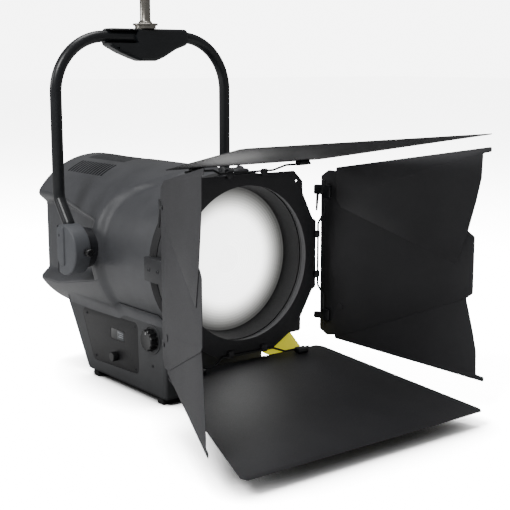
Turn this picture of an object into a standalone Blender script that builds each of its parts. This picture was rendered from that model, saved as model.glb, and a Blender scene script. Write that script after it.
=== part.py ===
"""Fresnel stage spotlight with an eight-leaf barndoor, a tube yoke and a pole-operated focus cup."""
import math

import bmesh
import bpy
from mathutils import Matrix, Vector

# Driving dimensions in millimetres. Stations run back (+Y) from the barndoor frame, heights from the lens axis.
MM = 0.001
GAP = 0.3
FRAME_Y = -108.0
LENS_Z = 243.0
APERTURE_R = 125.0
BARREL_R = 140.0
BARREL_WALL = 4.0
BARREL_START = 67.3
BARREL_END = 208.7
HOOD_R = 147.0
HOOD_WALL = 4.0
HOOD_FRONT = 209.0
HOOD_BROW = 80.0
HOOD_REAR = 478.0
RECESS_X = 100.0
RECESS_WALL = 3.0
BASE_HALF = 102.0
BASE_WALL = 3.5
BASE_FRONT = 83.0
BASE_REAR_LOW = 339.0
BASE_REAR_HIGH = 412.0
BASE_TOP = -115.0
BASE_BOTTOM = -232.0
FOOT_FRONT = 108.0
FOOT_REAR = 320.0
FOOT_HALF = 9.0
FOOT_INSET = 5.0
TILT_Y = 252.0
TILT_Z = 8.0
PIVOT_R = 12.0
PIVOT_CLEAR = 0.2
LOCK_CLEAR = 0.4
RUN = 0.06
YOKE_HALF = 175.0
YOKE_TUBE_R = 10.0
YOKE_Y = 293.0
YOKE_TOP = 361.0
YOKE_BEND_R = 95.0
BRACKET_X = 4.0
BRACKET_HALF = 82.0
BRACKET_DEPTH = 15.5
CAP_R = 43.0
SPIGOT_R = 14.0
LENS_R = 132.5
CARRIAGE_Y = 262.0
SCREW_Z = -122.0
ROD_X = 75.0
ROD_Z = -100.0
PANEL_DEPTH = 2.0
KNOB_Y = 121.0
KNOB_Z = -134.0
KNOB_R = 21.0
ENCODER_Y = 236.0
ENCODER_Z = -187.0
CUP_X = 112.0
CUP_Y = 45.0
CUP_R = 34.0
SHEET = 1.2
FLAP_SHEET = 1.0
WIRE_R = 1.75
HINGE_Y = -5.0
SIDE_HINGE_X = 149.0
TOP_HINGE_Z = 147.0
LEAF_OFFSET = 12.0
SIDE_LEAF_LENGTH = 264.0
SIDE_LEAF_HALF = 141.0
SIDE_TAB_HALF = 46.0
TOP_LEAF_LENGTH = 304.0
TOP_LEAF_HALF = 158.0
TOP_LEAF_WIDE = 235.0
RIGHT_OPEN = 25.5
LEFT_OPEN = 22.0
TOP_OPEN = 10.3
BOTTOM_OPEN = 10.8
PIN_R = 3.0
PIN_S = 37.0
PIN_T = 89.0
ROUND = 36

for old in list(bpy.data.objects):
    bpy.data.objects.remove(old, do_unlink=True)


def material(name, colour, metallic, roughness):
    """A plain Principled material with one colour."""
    made = bpy.data.materials.new(name)
    made.use_nodes = True
    shader = made.node_tree.nodes["Principled BSDF"]
    shader.inputs["Base Color"].default_value = (*colour, 1.0)
    shader.inputs["Metallic"].default_value = metallic
    shader.inputs["Roughness"].default_value = roughness
    return made


GRAPHITE = (0.16, 0.165, 0.17)
SATIN_BLACK = (0.02, 0.022, 0.026)
LEAF_BLACK = (0.035, 0.035, 0.038)
STEEL = (0.62, 0.62, 0.6)
ALUMINIUM = (0.7, 0.71, 0.72)
YELLOW = (0.72, 0.68, 0.05)
WHITE = (0.95, 0.96, 1.0)
BOARD = (0.02, 0.16, 0.08)


def at(x, y, z):
    """World position in metres of a point given in millimetres from the frame plane and the lens axis."""
    return Vector((x * MM, (y + FRAME_Y) * MM, (z + LENS_Z) * MM))


def put(name, bm):
    """Turns a bmesh that is in lens-axis millimetres into a scene object."""
    for vert in bm.verts:
        vert.co = at(*vert.co)
    bmesh.ops.remove_doubles(bm, verts=bm.verts, dist=0.000002)
    bmesh.ops.recalc_face_normals(bm, faces=bm.faces)
    mesh = bpy.data.meshes.new(name)
    bm.to_mesh(mesh)
    bm.free()
    obj = bpy.data.objects.new(name, mesh)
    bpy.context.scene.collection.objects.link(obj)
    return obj


def prism(name, points, axis, low, high, turn=None):
    """A polygon pushed along X, Y or Z; turn maps local (s, t, n) millimetres to the lens-axis frame."""
    bm = bmesh.new()
    place = {
        "x": lambda a, b, c: (c, a, b),
        "y": lambda a, b, c: (a, c, b),
        "z": lambda a, b, c: (a, b, c),
    }[axis]
    ring_low = [bm.verts.new(place(a, b, low)) for a, b in points]
    ring_high = [bm.verts.new(place(a, b, high)) for a, b in points]
    bm.faces.new(ring_low)
    bm.faces.new(list(reversed(ring_high)))
    count = len(points)
    for i in range(count):
        j = (i + 1) % count
        bm.faces.new([ring_low[j], ring_low[i], ring_high[i], ring_high[j]])
    if turn is not None:
        bm.transform(turn)
    return put(name, bm)


def box(name, low, high, turn=None):
    """An axis-aligned box between two corners."""
    points = [(low[0], low[1]), (high[0], low[1]), (high[0], high[1]), (low[0], high[1])]
    return prism(name, points, "z", low[2], high[2], turn)


def lathe(name, profile, axis, centre, segments=ROUND, turn=None):
    """A closed profile of (radius, station) turned about a line parallel to an axis through centre."""
    bm = bmesh.new()
    rings = []
    for radius, station in profile:
        if radius == 0.0:
            steps = [0.0]
        else:
            steps = [2.0 * math.pi * (k + 0.5) / segments for k in range(segments)]
        ring = []
        for angle in steps:
            u = radius * math.cos(angle)
            v = radius * math.sin(angle)
            if axis == "x":
                co = (station, centre[0] + u, centre[1] + v)
            elif axis == "y":
                co = (centre[0] + u, station, centre[1] + v)
            else:
                co = (centre[0] + u, centre[1] + v, station)
            ring.append(bm.verts.new(co))
        rings.append(ring)
    count = len(rings)
    for i in range(count):
        a = rings[i]
        b = rings[(i + 1) % count]
        if len(a) == 1 and len(b) == 1:
            continue
        for k in range(segments):
            m = (k + 1) % segments
            if len(a) == 1:
                bm.faces.new([a[0], b[m], b[k]])
            elif len(b) == 1:
                bm.faces.new([a[k], a[m], b[0]])
            else:
                bm.faces.new([a[k], a[m], b[m], b[k]])
    if turn is not None:
        bm.transform(turn)
    return put(name, bm)


def drum(name, axis, centre, radius, low, high, segments=32, turn=None):
    """A plain cylinder."""
    profile = [(0.0, low), (radius, low), (radius, high), (0.0, high)]
    return lathe(name, profile, axis, centre, segments, turn)


def rod(name, path, radius, segments, turn=None):
    """A round bar along a path, its section carried from point to point without twist."""
    bm = bmesh.new()
    points = [Vector(p) for p in path]
    count = len(points)
    tangents = []
    for i in range(count):
        before = points[max(i - 1, 0)]
        after = points[min(i + 1, count - 1)]
        here = points[i]
        into = (here - before).normalized() if i > 0 else (after - here).normalized()
        out = (after - here).normalized() if i < count - 1 else into
        tangents.append((into, out))
    side = tangents[0][0].orthogonal().normalized()
    rings = []
    for i in range(count):
        into, out = tangents[i]
        middle = (into + out).normalized()
        side = (side - middle * side.dot(middle)).normalized()
        other = middle.cross(side)
        stretch = 1.0 / max(middle.dot(into), 0.5)
        bend = (out - into)
        ring = []
        for k in range(segments):
            angle = 2.0 * math.pi * k / segments
            offset = side * math.cos(angle) + other * math.sin(angle)
            if bend.length > 1e-6:
                toward = bend.normalized()
                offset = offset + toward * offset.dot(toward) * (stretch - 1.0)
            ring.append(bm.verts.new(points[i] + offset * radius))
        rings.append(ring)
    for i in range(count - 1):
        for k in range(segments):
            m = (k + 1) % segments
            bm.faces.new([rings[i][k], rings[i][m], rings[i + 1][m], rings[i + 1][k]])
    bm.faces.new(list(reversed(rings[0])))
    bm.faces.new(rings[-1])
    if turn is not None:
        bm.transform(turn)
    return put(name, bm)


def combine(target, tool, operation):
    """Applies an exact boolean to the target and removes the tool."""
    step = target.modifiers.new("step", "BOOLEAN")
    step.operation = operation
    step.solver = "EXACT"
    step.object = tool
    bpy.context.view_layer.update()
    graph = bpy.context.evaluated_depsgraph_get()
    mesh = bpy.data.meshes.new_from_object(target.evaluated_get(graph))
    target.modifiers.clear()
    bm = bmesh.new()
    bm.from_mesh(mesh)
    bmesh.ops.remove_doubles(bm, verts=bm.verts, dist=0.000004)
    bm.to_mesh(mesh)
    bm.free()
    old = target.data
    target.data = mesh
    bpy.data.meshes.remove(old)
    bpy.data.objects.remove(tool, do_unlink=True)
    return target


def cut(target, *tools):
    for tool in tools:
        combine(target, tool, "DIFFERENCE")
    return target


def fuse(target, *tools):
    for tool in tools:
        combine(target, tool, "UNION")
    return target


def keep(target, *tools):
    for tool in tools:
        combine(target, tool, "INTERSECT")
    return target


def finish(obj, colour, metallic=0.0, roughness=0.5, origin=None):
    """Gives the object its own material and puts its origin on the joint axis where it has one."""
    obj.data.materials.clear()
    obj.data.materials.append(material(obj.name, colour, metallic, roughness))
    bm = bmesh.new()
    bm.from_mesh(obj.data)
    bmesh.ops.dissolve_degenerate(bm, edges=bm.edges, dist=0.000001)
    flat = [f for f in bm.faces if len(f.verts) > 4]
    bmesh.ops.triangulate(bm, faces=flat)
    bm.to_mesh(obj.data)
    bm.free()
    for face in obj.data.polygons:
        face.use_smooth = True
    obj.data.set_sharp_from_angle(angle=math.radians(30.0))
    if origin is not None:
        spot = at(*origin)
        obj.data.transform(Matrix.Translation(-spot))
        obj.location = spot
    return obj


def many(name, boxes):
    """Several separate boxes in one mesh, used as one cutter."""
    bm = bmesh.new()
    for low, high in boxes:
        size = [high[i] - low[i] for i in range(3)]
        centre = [(high[i] + low[i]) / 2.0 for i in range(3)]
        shift = Matrix.Translation(centre) @ Matrix.Diagonal((*size, 1.0))
        bmesh.ops.create_cube(bm, size=1.0, matrix=shift)
    return put(name, bm)


# Rear housing: a drum with a forward-reaching brow, open side recesses and three banks of vents.
BROW = [(150.0, 80.0), (144.0, 86.0), (128.0, 128.0), (109.0, 177.0), (87.0, 203.0), (57.0, 209.0)]
RECESS = [
    (213.0, -34.0), (217.0, -42.0), (240.0, -50.0), (400.0, -82.0), (500.0, -84.0),
    (500.0, 84.0), (380.0, 82.0), (240.0, 57.0), (217.0, 48.0), (213.0, 38.0),
]


def grown(points, amount, centre):
    """The polygon's points pushed away from a centre by an amount in each direction."""
    moved = []
    for a, b in points:
        da = amount if a > centre[0] else -amount
        db = amount if b > centre[1] else -amount
        moved.append((a + da, b + db))
    return moved


def recess_cutters(name, floor, amount):
    """The two side recess volumes, outside X = floor."""
    shape = grown(RECESS, amount, (300.0, 0.0))
    left = prism(name + "_l", shape, "x", -200.0, -floor)
    right = prism(name + "_r", shape, "x", floor, 200.0)
    return left, right


def brow_edge(z):
    """Front edge station of the housing at a height, by straight runs between the brow's points."""
    if z >= BROW[0][0]:
        return BROW[0][1]
    for high, low in zip(BROW, BROW[1:]):
        if z > low[0]:
            return low[1] + (high[1] - low[1]) * (z - low[0]) / (high[0] - low[0])
    return HOOD_FRONT


def hood_solid():
    """The housing's solid drum, its front rim following the brow."""
    bm = bmesh.new()
    front = bm.verts.new((0.0, HOOD_FRONT, 0.0))
    back = bm.verts.new((0.0, HOOD_REAR, 0.0))
    rings = [[], [], [], []]
    for k in range(ROUND):
        angle = 2.0 * math.pi * (k + 0.5) / ROUND
        x = math.cos(angle)
        z = math.sin(angle)
        edge = brow_edge(HOOD_R * z)
        stations = ((HOOD_R - 20.0, edge), (HOOD_R, edge), (HOOD_R, HOOD_REAR - 4.0), (HOOD_R - 4.0, HOOD_REAR))
        for ring, (radius, station) in zip(rings, stations):
            ring.append(bm.verts.new((radius * x, station, radius * z)))
    for k in range(ROUND):
        m = (k + 1) % ROUND
        bm.faces.new([front, rings[0][m], rings[0][k]])
        bm.faces.new([back, rings[3][k], rings[3][m]])
        for near, far in zip(rings, rings[1:]):
            bm.faces.new([near[k], near[m], far[m]])
            bm.faces.new([near[k], far[m], far[k]])
    return put("hood_shell", bm)


def build_hood():
    hood = hood_solid()
    cut(hood, *recess_cutters("recess", RECESS_X, 0.0))
    inner = drum("inner", "y", (0.0, 0.0), HOOD_R - HOOD_WALL, 40.0, HOOD_REAR + 20.0, ROUND)
    cut(inner, *recess_cutters("inner_recess", RECESS_X - RECESS_WALL, RECESS_WALL))
    cut(hood, inner)
    slots = []
    for k in range(7):
        start = 308.0 + k * 18.0
        for low_x, high_x, low_z in ((-84.0, -52.0, 100.0), (52.0, 84.0, 100.0), (-36.0, 36.0, 120.0)):
            slots.append(((low_x, start, low_z), (high_x, start + 9.0, 160.0)))
    cut(hood, many("vents", slots))
    return finish(hood, GRAPHITE, 0.3, 0.55)


def build_barrel():
    wall = BARREL_R - BARREL_WALL
    profile = [(wall, BARREL_START), (BARREL_R, BARREL_START), (BARREL_R, BARREL_END), (wall, BARREL_END)]
    return finish(lathe("barrel_shell", profile, "y", (0.0, 0.0)), GRAPHITE, 0.3, 0.55)


REAR_LEAN = math.atan2(BASE_REAR_HIGH - BASE_REAR_LOW, BASE_TOP - BASE_BOTTOM)


def rear_turn(x, climb):
    """Local frame on the leaning rear wall: s along X, t up the wall, n out of it."""
    up = Vector((0.0, math.sin(REAR_LEAN), math.cos(REAR_LEAN)))
    out = Vector((0.0, math.cos(REAR_LEAN), -math.sin(REAR_LEAN)))
    spot = Vector((x, BASE_REAR_LOW, BASE_BOTTOM)) + up * climb
    turn = Matrix.Identity(4)
    turn.col[0][:3] = (1.0, 0.0, 0.0)
    turn.col[1][:3] = up
    turn.col[2][:3] = out
    turn.col[3][:3] = spot
    return turn


PANEL = [(357.0, -120.0), (167.0, -116.0), (165.0, -204.0), (315.0, -209.0)]
SCREEN = ((209.0, -158.0), (255.0, -139.0))
SOCKETS = (("power_inlet", -62.0), ("power_outlet", -22.0), ("data_in", 24.0), ("data_out", 60.0))
SOCKET_CLIMB = 48.0


def base_outline(inset, low, high):
    """Side outline of the lower box, inset from the outside by a wall thickness."""
    return [
        (BASE_FRONT + inset, low), (BASE_REAR_LOW - inset * 1.2, low),
        (BASE_REAR_HIGH - inset * 1.2, BASE_TOP), (BASE_REAR_HIGH - inset * 1.2, high),
        (BASE_FRONT + inset, high),
    ]


def build_base():
    base = prism("base_shell", base_outline(0.0, BASE_BOTTOM, -60.0), "x", -BASE_HALF, BASE_HALF)
    ring = [(24.0, -BASE_HALF - 2.0), (28.0, -BASE_HALF - 2.0), (29.0, -BASE_HALF + 1.0), (23.0, -BASE_HALF + 1.0)]
    fuse(base, lathe("ring", ring, "x", (KNOB_Y, KNOB_Z), 24))
    cut(base, drum("front_seat", "y", (0.0, 0.0), BARREL_R + GAP, 40.0, HOOD_FRONT - GAP, ROUND))
    cut(base, drum("rear_seat", "y", (0.0, 0.0), HOOD_R + GAP, HOOD_FRONT - GAP - 0.1, 520.0, ROUND))
    inner_half = BASE_HALF - BASE_WALL
    shape = base_outline(BASE_WALL, BASE_BOTTOM - 5.0, -60.0)
    inner = prism("inner", shape, "x", -inner_half, inner_half)
    cut(inner, drum("a", "y", (0.0, 0.0), BARREL_R + GAP + BASE_WALL, 40.0, HOOD_FRONT + 2.0, ROUND))
    cut(inner, drum("b", "y", (0.0, 0.0), HOOD_R + GAP + BASE_WALL, HOOD_FRONT - 4.0, 520.0, ROUND))
    cut(base, inner)
    cut(base, prism("pocket", PANEL, "x", -BASE_HALF - 5.0, -BASE_HALF + PANEL_DEPTH))
    low = (-BASE_HALF - 5.0, SCREEN[0][0], SCREEN[0][1])
    high = (-BASE_HALF + 8.0, SCREEN[1][0], SCREEN[1][1])
    cut(base, box("screen_hole", low, high))
    cut(base, drum("encoder_hole", "x", (ENCODER_Y, ENCODER_Z), 3.5, -BASE_HALF - 18.0, -BASE_HALF + 12.0, 24))
    cut(base, drum("knob_hole", "x", (KNOB_Y, KNOB_Z), 5.0 + RUN, -BASE_HALF - 18.0, -BASE_HALF + 12.0, 24))
    for name, x in SOCKETS:
        turn = rear_turn(x, SOCKET_CLIMB)
        if name.startswith("power"):
            cut(base, box("hole", (-14.3, -12.3, -20.0), (14.3, 12.3, 6.0), turn))
        else:
            cut(base, drum("hole", "z", (0.0, 0.0), 10.3, -20.0, 6.0, 24, turn))
    return finish(base, GRAPHITE, 0.3, 0.55)


def build_base_floor():
    low = (-BASE_HALF + BASE_WALL + GAP, BASE_FRONT + BASE_WALL + GAP, BASE_BOTTOM + 0.5)
    high = (BASE_HALF - BASE_WALL - GAP, BASE_REAR_LOW - BASE_WALL * 1.2 - GAP, BASE_BOTTOM + 3.5)
    return finish(box("base_floor", low, high), SATIN_BLACK, 0.5, 0.5)


def build_feet():
    top = BASE_BOTTOM + 0.5 - GAP
    for name, y in (("foot_front", FOOT_FRONT), ("foot_rear", FOOT_REAR)):
        section = [
            (y - FOOT_HALF + 1.5, -LENS_Z), (y + FOOT_HALF - 1.5, -LENS_Z), (y + FOOT_HALF, -LENS_Z + 1.5),
            (y + FOOT_HALF, top), (y - FOOT_HALF, top), (y - FOOT_HALF, -LENS_Z + 1.5),
        ]
        finish(prism(name, section, "x", -BASE_HALF + FOOT_INSET, BASE_HALF - FOOT_INSET), SATIN_BLACK, 0.0, 0.8)


def build_controls():
    panel_face = -BASE_HALF + PANEL_DEPTH - GAP
    shape = grown(PANEL, -GAP * 1.4, (260.0, -160.0))
    panel = prism("control_panel", shape, "x", panel_face - 1.4, panel_face)
    low = (-BASE_HALF - 5.0, SCREEN[0][0], SCREEN[0][1])
    high = (-BASE_HALF + 8.0, SCREEN[1][0], SCREEN[1][1])
    cut(panel, box("screen_hole", low, high))
    cut(panel, drum("encoder_hole", "x", (ENCODER_Y, ENCODER_Z), 3.5, -BASE_HALF - 18.0, -BASE_HALF + 12.0, 24))
    finish(panel, SATIN_BLACK, 0.0, 0.4)
    low = (panel_face - 1.2, SCREEN[0][0] + GAP, SCREEN[0][1] + GAP)
    high = (-BASE_HALF + 14.0, SCREEN[1][0] - GAP, SCREEN[1][1] - GAP)
    finish(box("display", low, high), (0.3, 0.33, 0.36), 0.0, 0.2)
    spot = (0.0, ENCODER_Y, ENCODER_Z)
    wall = -BASE_HALF
    stem = [
        (0.0, wall - 10.0), (3.0, wall - 10.0), (3.0, wall + 4.0), (6.0, wall + 4.0), (6.0, wall + 8.0),
        (0.0, wall + 8.0),
    ]
    stem_obj = lathe("encoder_stem", stem, "x", (ENCODER_Y, ENCODER_Z), 24)
    finish(stem_obj, STEEL, 1.0, 0.3, (wall + 4.0, ENCODER_Y, ENCODER_Z))
    bore = 3.0 + RUN
    knob = [
        (0.0, wall - 13.0), (8.0, wall - 13.0), (9.0, wall - 12.0), (9.0, wall - 1.5), (bore, wall - 1.5),
        (bore, wall - 10.4), (0.0, wall - 10.4),
    ]
    knob_obj = lathe("encoder_knob", knob, "x", (ENCODER_Y, ENCODER_Z), 24)
    finish(knob_obj, SATIN_BLACK, 0.0, 0.4, (wall - 1.5, spot[1], spot[2]))
    grip = [
        (0.0, wall - 11.0), (KNOB_R - 2.0, wall - 11.0), (KNOB_R, wall - 9.0), (KNOB_R, wall - 2.5),
        (5.0, wall - 2.5), (5.0, wall + 20.0), (9.0, wall + 22.0), (9.0, wall + 28.0), (0.0, wall + 28.0),
    ]
    focus = lathe("focus_knob", grip, "x", (KNOB_Y, KNOB_Z), 24)
    finish(focus, SATIN_BLACK, 0.0, 0.5, (wall - 2.5, KNOB_Y, KNOB_Z))


def build_electrics():
    supply = box("power_supply", (-70.0, 205.0, BASE_BOTTOM + 3.8), (70.0, 315.0, -188.0))
    finish(supply, ALUMINIUM, 0.9, 0.4)
    board = box("driver_board", (-85.0, 96.0, -222.0), (85.0, 190.0, -220.0))
    for x, y, half, tall in ((-50.0, 130.0, 16.0, 18.0), (10.0, 140.0, 22.0, 12.0), (58.0, 150.0, 12.0, 24.0)):
        fuse(board, box("chip", (x - half, y - half, -221.0), (x + half, y + half, -220.0 + tall)))
    for x in (-80.0, 80.0):
        for y in (101.0, 185.0):
            fuse(board, drum("post", "z", (x, y), 3.0, BASE_BOTTOM + 3.8, -221.0, 12))
    finish(board, BOARD, 0.0, 0.4)
    for name, x in SOCKETS:
        turn = rear_turn(x, SOCKET_CLIMB)
        if name.startswith("power"):
            body = box(name, (-14.0, -12.0, -16.0), (14.0, 12.0, 1.0), turn)
            fuse(body, box("flange", (-18.0, -16.0, GAP), (18.0, 16.0, 2.4), turn))
            cut(body, box("mouth", (-10.0, -8.0, -10.0), (10.0, 8.0, 5.0), turn))
        else:
            body = drum(name, "z", (0.0, 0.0), 10.0, -16.0, 1.0, 24, turn)
            fuse(body, box("flange", (-13.0, -15.0, GAP), (13.0, 15.0, 2.4), turn))
            cut(body, drum("mouth", "z", (0.0, 0.0), 7.5, -10.0, 5.0, 24, turn))
        finish(body, SATIN_BLACK, 0.0, 0.45)


def build_rear():
    grille = drum("rear_grille", "y", (0.0, 0.0), HOOD_R - HOOD_WALL - GAP, 466.0, 469.0, ROUND)
    cut(grille, *recess_cutters("notch", RECESS_X - RECESS_WALL - GAP, RECESS_WALL + GAP))
    slots = []
    for k in range(7):
        z = -78.0 + k * 26.0
        slots.append(((-78.0, 460.0, z - 7.0), (78.0, 480.0, z + 7.0)))
    cut(grille, many("slots", slots))
    finish(grille, SATIN_BLACK, 0.3, 0.5)
    head = drum("rear_bulkhead", "y", (0.0, 0.0), HOOD_R - HOOD_WALL - GAP, 425.0, 429.0, ROUND)
    cut(head, *recess_cutters("notch", RECESS_X - RECESS_WALL - GAP, RECESS_WALL + GAP))
    cut(head, drum("duct", "y", (0.0, 0.0), 57.0, 400.0, 460.0, 24))
    for x, z, radius in ((-ROD_X, ROD_Z, 5.3), (ROD_X, ROD_Z, 5.3), (0.0, SCREW_Z, 4.0 + RUN)):
        cut(head, drum("hole", "y", (x, z), radius, 400.0, 460.0, 32))
    finish(head, ALUMINIUM, 0.8, 0.4)
    frame = box("fan_frame", (-60.0, 429.3, -60.0), (60.0, 454.0, 60.0))
    cut(frame, drum("bore", "y", (0.0, 0.0), 57.0, 420.0, 460.0, 24))
    for low, high in (((-59.0, 450.0, -3.0), (59.0, 453.5, 3.0)), ((-3.0, 450.0, -59.0), (3.0, 453.5, 59.0))):
        fuse(frame, box("strut", low, high))
    fuse(frame, drum("hub", "y", (0.0, 0.0), 18.0, 449.0, 453.7, 24))
    fuse(frame, drum("axle", "y", (0.0, 0.0), 3.0, 436.0, 451.0, 16))
    finish(frame, SATIN_BLACK, 0.0, 0.5)
    cup = [(3.0 + RUN, 434.5), (19.0, 434.5), (20.0, 435.5), (20.0, 448.5), (3.0 + RUN, 448.5)]
    rotor = lathe("fan_rotor", cup, "y", (0.0, 0.0), 24)
    for k in range(7):
        pose = Matrix.Rotation(2.0 * math.pi * k / 7.0, 4, "Y")
        tilt = Matrix.Translation((0.0, 441.5, 0.0)) @ Matrix.Rotation(math.radians(35.0), 4, "Z")
        blade = box("blade", (-0.9, -7.5, 18.5), (0.9, 7.5, 54.0), pose @ tilt)
        fuse(rotor, blade)
    finish(rotor, SATIN_BLACK, 0.0, 0.5, (0.0, 441.5, 0.0))


def build_optics():
    ring = [(114.0, 68.0), (BARREL_R - BARREL_WALL - GAP, 68.0), (BARREL_R - BARREL_WALL - GAP, 74.0), (114.0, 74.0)]
    front = lathe("front_ring", ring, "y", (0.0, 0.0))
    for x, z, radius in ((-ROD_X, ROD_Z, 5.3), (ROD_X, ROD_Z, 5.3), (0.0, SCREW_Z, 4.0 + RUN)):
        cut(front, drum("hole", "y", (x, z), radius, 60.0, 90.0, 32))
    finish(front, ALUMINIUM, 0.8, 0.4)
    for name, x in (("guide_rod_left", -ROD_X), ("guide_rod_right", ROD_X)):
        finish(drum(name, "y", (x, ROD_Z), 5.0, 68.5, 428.5, 32), STEEL, 1.0, 0.2)
    finish(drum("lead_screw", "y", (0.0, SCREW_Z), 4.0, 68.5, 428.5, 32), STEEL, 1.0, 0.3, (0.0, 250.0, SCREW_Z))
    bezel = [
        (127.0, 17.0), (128.5, 17.0), (128.5, 44.0), (133.0, 48.3), (BARREL_R, 48.3), (BARREL_R, 67.0),
        (133.0, 67.0), (133.0, 49.7), (119.0, 49.7), (119.0, 46.0),
    ]
    finish(lathe("front_bezel", bezel, "y", (0.0, 0.0)), SATIN_BLACK, 0.2, 0.5)
    lens = [(0.0, 58.0)]
    lens.append((LENS_R, 58.0))
    lens.append((LENS_R, 50.0))
    lens.append((117.0, 50.0))
    for outer, inner in ((117.0, 90.0), (90.0, 60.0)):
        lens.append((outer - 0.4, 53.2))
        lens.append((inner, 50.4))
    lens.append((24.0, 48.9))
    lens.append((0.0, 48.2))
    finish(lathe("fresnel_lens", lens, "y", (0.0, 0.0)), WHITE, 0.0, 0.1)
    keeper = [(121.0, 58.3), (132.7, 58.3), (132.7, 63.0), (121.0, 63.0)]
    finish(lathe("lens_retainer", keeper, "y", (0.0, 0.0)), SATIN_BLACK, 0.4, 0.5)


def build_carriage():
    y = CARRIAGE_Y
    shape = [
        (-88.0, 78.0), (-60.0, 100.0), (60.0, 100.0), (88.0, 78.0), (88.0, -96.0), (40.0, -129.0),
        (-40.0, -129.0), (-88.0, -96.0),
    ]
    plate = prism("carriage_plate", shape, "y", y, y + 5.0)
    for x, z, radius in ((-ROD_X, ROD_Z, 5.0), (ROD_X, ROD_Z, 5.0), (0.0, SCREW_Z, 4.0)):
        boss = drum("boss", "y", (x, z), radius + 4.0, y, y + 14.0, 16)
        fuse(plate, boss)
        cut(plate, drum("hole", "y", (x, z), radius + RUN, y - 5.0, y + 20.0, 32))
    spot = (0.0, y, 0.0)
    finish(plate, ALUMINIUM, 0.8, 0.4, spot)
    sink = box("heatsink", (-76.0, y + 5.3, -66.0), (76.0, y + 13.0, 66.0))
    fins = []
    for k in range(11):
        x = -74.0 + k * 14.6
        fins.append(((x, y + 12.5, -66.0), (x + 2.4, y + 66.0, 66.0)))
    for low, high in fins:
        fuse(sink, box("fin", low, high))
    finish(sink, ALUMINIUM, 0.8, 0.5, spot)
    board = box("led_board", (-38.0, y - 3.3, -38.0), (38.0, y - GAP, 38.0))
    dome = [(0.0, y - 13.0), (10.0, y - 11.5), (17.0, y - 8.0), (20.0, y - 3.0), (0.0, y - 3.0)]
    fuse(board, lathe("dome", dome, "y", (0.0, 0.0), 32))
    finish(board, WHITE, 0.0, 0.3, spot)
    cone = [(24.0, y - 3.6), (42.0, y - 3.6), (42.0, y - 5.6), (26.5, y - 5.6), (60.0, y - 70.0), (58.5, y - 70.0)]
    finish(lathe("reflector", cone, "y", (0.0, 0.0), 20), ALUMINIUM, 1.0, 0.15, spot)


def claw(name, angle):
    """One hooked block that holds the accessory flange, at an angle about the lens axis."""
    outline = [
        (137.0, 13.2), (137.0, 48.0), (140.6, 48.0), (140.6, 63.0), (153.0, 63.0), (153.0, 8.3),
        (141.0, 8.3), (141.0, 10.1), (146.9, 10.1), (146.9, 13.2),
    ]
    turn = Matrix.Rotation(angle, 4, "Y")
    return prism(name, outline, "z", -19.0, 19.0, turn)


def build_holder():
    profile = [(128.0, 13.2), (139.0, 13.2), (139.0, 48.0), (134.0, 48.0), (134.0, 15.2), (128.0, 15.2)]
    holder = lathe("accessory_holder", profile, "y", (0.0, 0.0))
    for angle in (0.0, 90.0, 180.0):
        fuse(holder, claw("claw", math.radians(angle)))
    for x in (-20.0, 14.6):
        ear = [(28.0, 136.0), (46.0, 136.0), (46.0, 149.0), (42.0, 153.0), (34.0, 153.0), (28.0, 149.0)]
        fuse(holder, prism("ear", ear, "x", x, x + 5.4))
    cut(holder, drum("pin_hole", "x", (38.0, 147.6), 2.0 + RUN, -30.0, 30.0, 24))
    finish(holder, SATIN_BLACK, 0.4, 0.5)
    hook = [
        (8.3, 141.0), (10.1, 141.0), (10.1, 146.6), (26.0, 146.6), (34.0, 144.4), (41.0, 144.4), (41.4, 150.6),
        (12.0, 150.6), (8.3, 148.0),
    ]
    latch = prism("holder_latch", hook, "x", -14.2, 14.2)
    fuse(latch, drum("pin", "x", (38.0, 147.6), 2.0, -19.0, 19.0, 24))
    finish(latch, SATIN_BLACK, 0.4, 0.5, (0.0, 38.0, 147.6))


def build_pivots():
    for name, sign in (("pivot_left", -1.0), ("pivot_right", 1.0)):
        profile = [
            (0.0, sign * (RECESS_X + GAP)), (30.0, sign * (RECESS_X + GAP)), (30.0, sign * 106.0),
            (20.0, sign * 109.0), (20.0, sign * 165.6), (PIVOT_R, sign * 165.6), (PIVOT_R, sign * 178.4),
            (16.0, sign * 178.4), (16.0, sign * 183.0), (0.0, sign * 183.0),
        ]
        finish(lathe(name, profile, "x", (TILT_Y, TILT_Z), 24), SATIN_BLACK, 0.6, 0.4)


def yoke_path():
    """Centre line of the bent tube, from the left hub over the top to the right hub."""
    half = [(-YOKE_HALF + 1.0, 256.0, 38.0), (-YOKE_HALF, 261.0, 50.0), (-YOKE_HALF, 284.0, 79.0),
            (-YOKE_HALF, 290.5, 88.0), (-YOKE_HALF, YOKE_Y, 98.0)]
    centre_x = -YOKE_HALF + YOKE_BEND_R
    centre_z = YOKE_TOP - YOKE_BEND_R
    for k in range(7):
        angle = math.pi - k * math.pi / 12.0
        x = centre_x + YOKE_BEND_R * math.cos(angle)
        z = centre_z + YOKE_BEND_R * math.sin(angle)
        half.append((x, YOKE_Y, z))
    mirrored = [(-x, y, z) for x, y, z in reversed(half)]
    return half + mirrored


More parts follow.
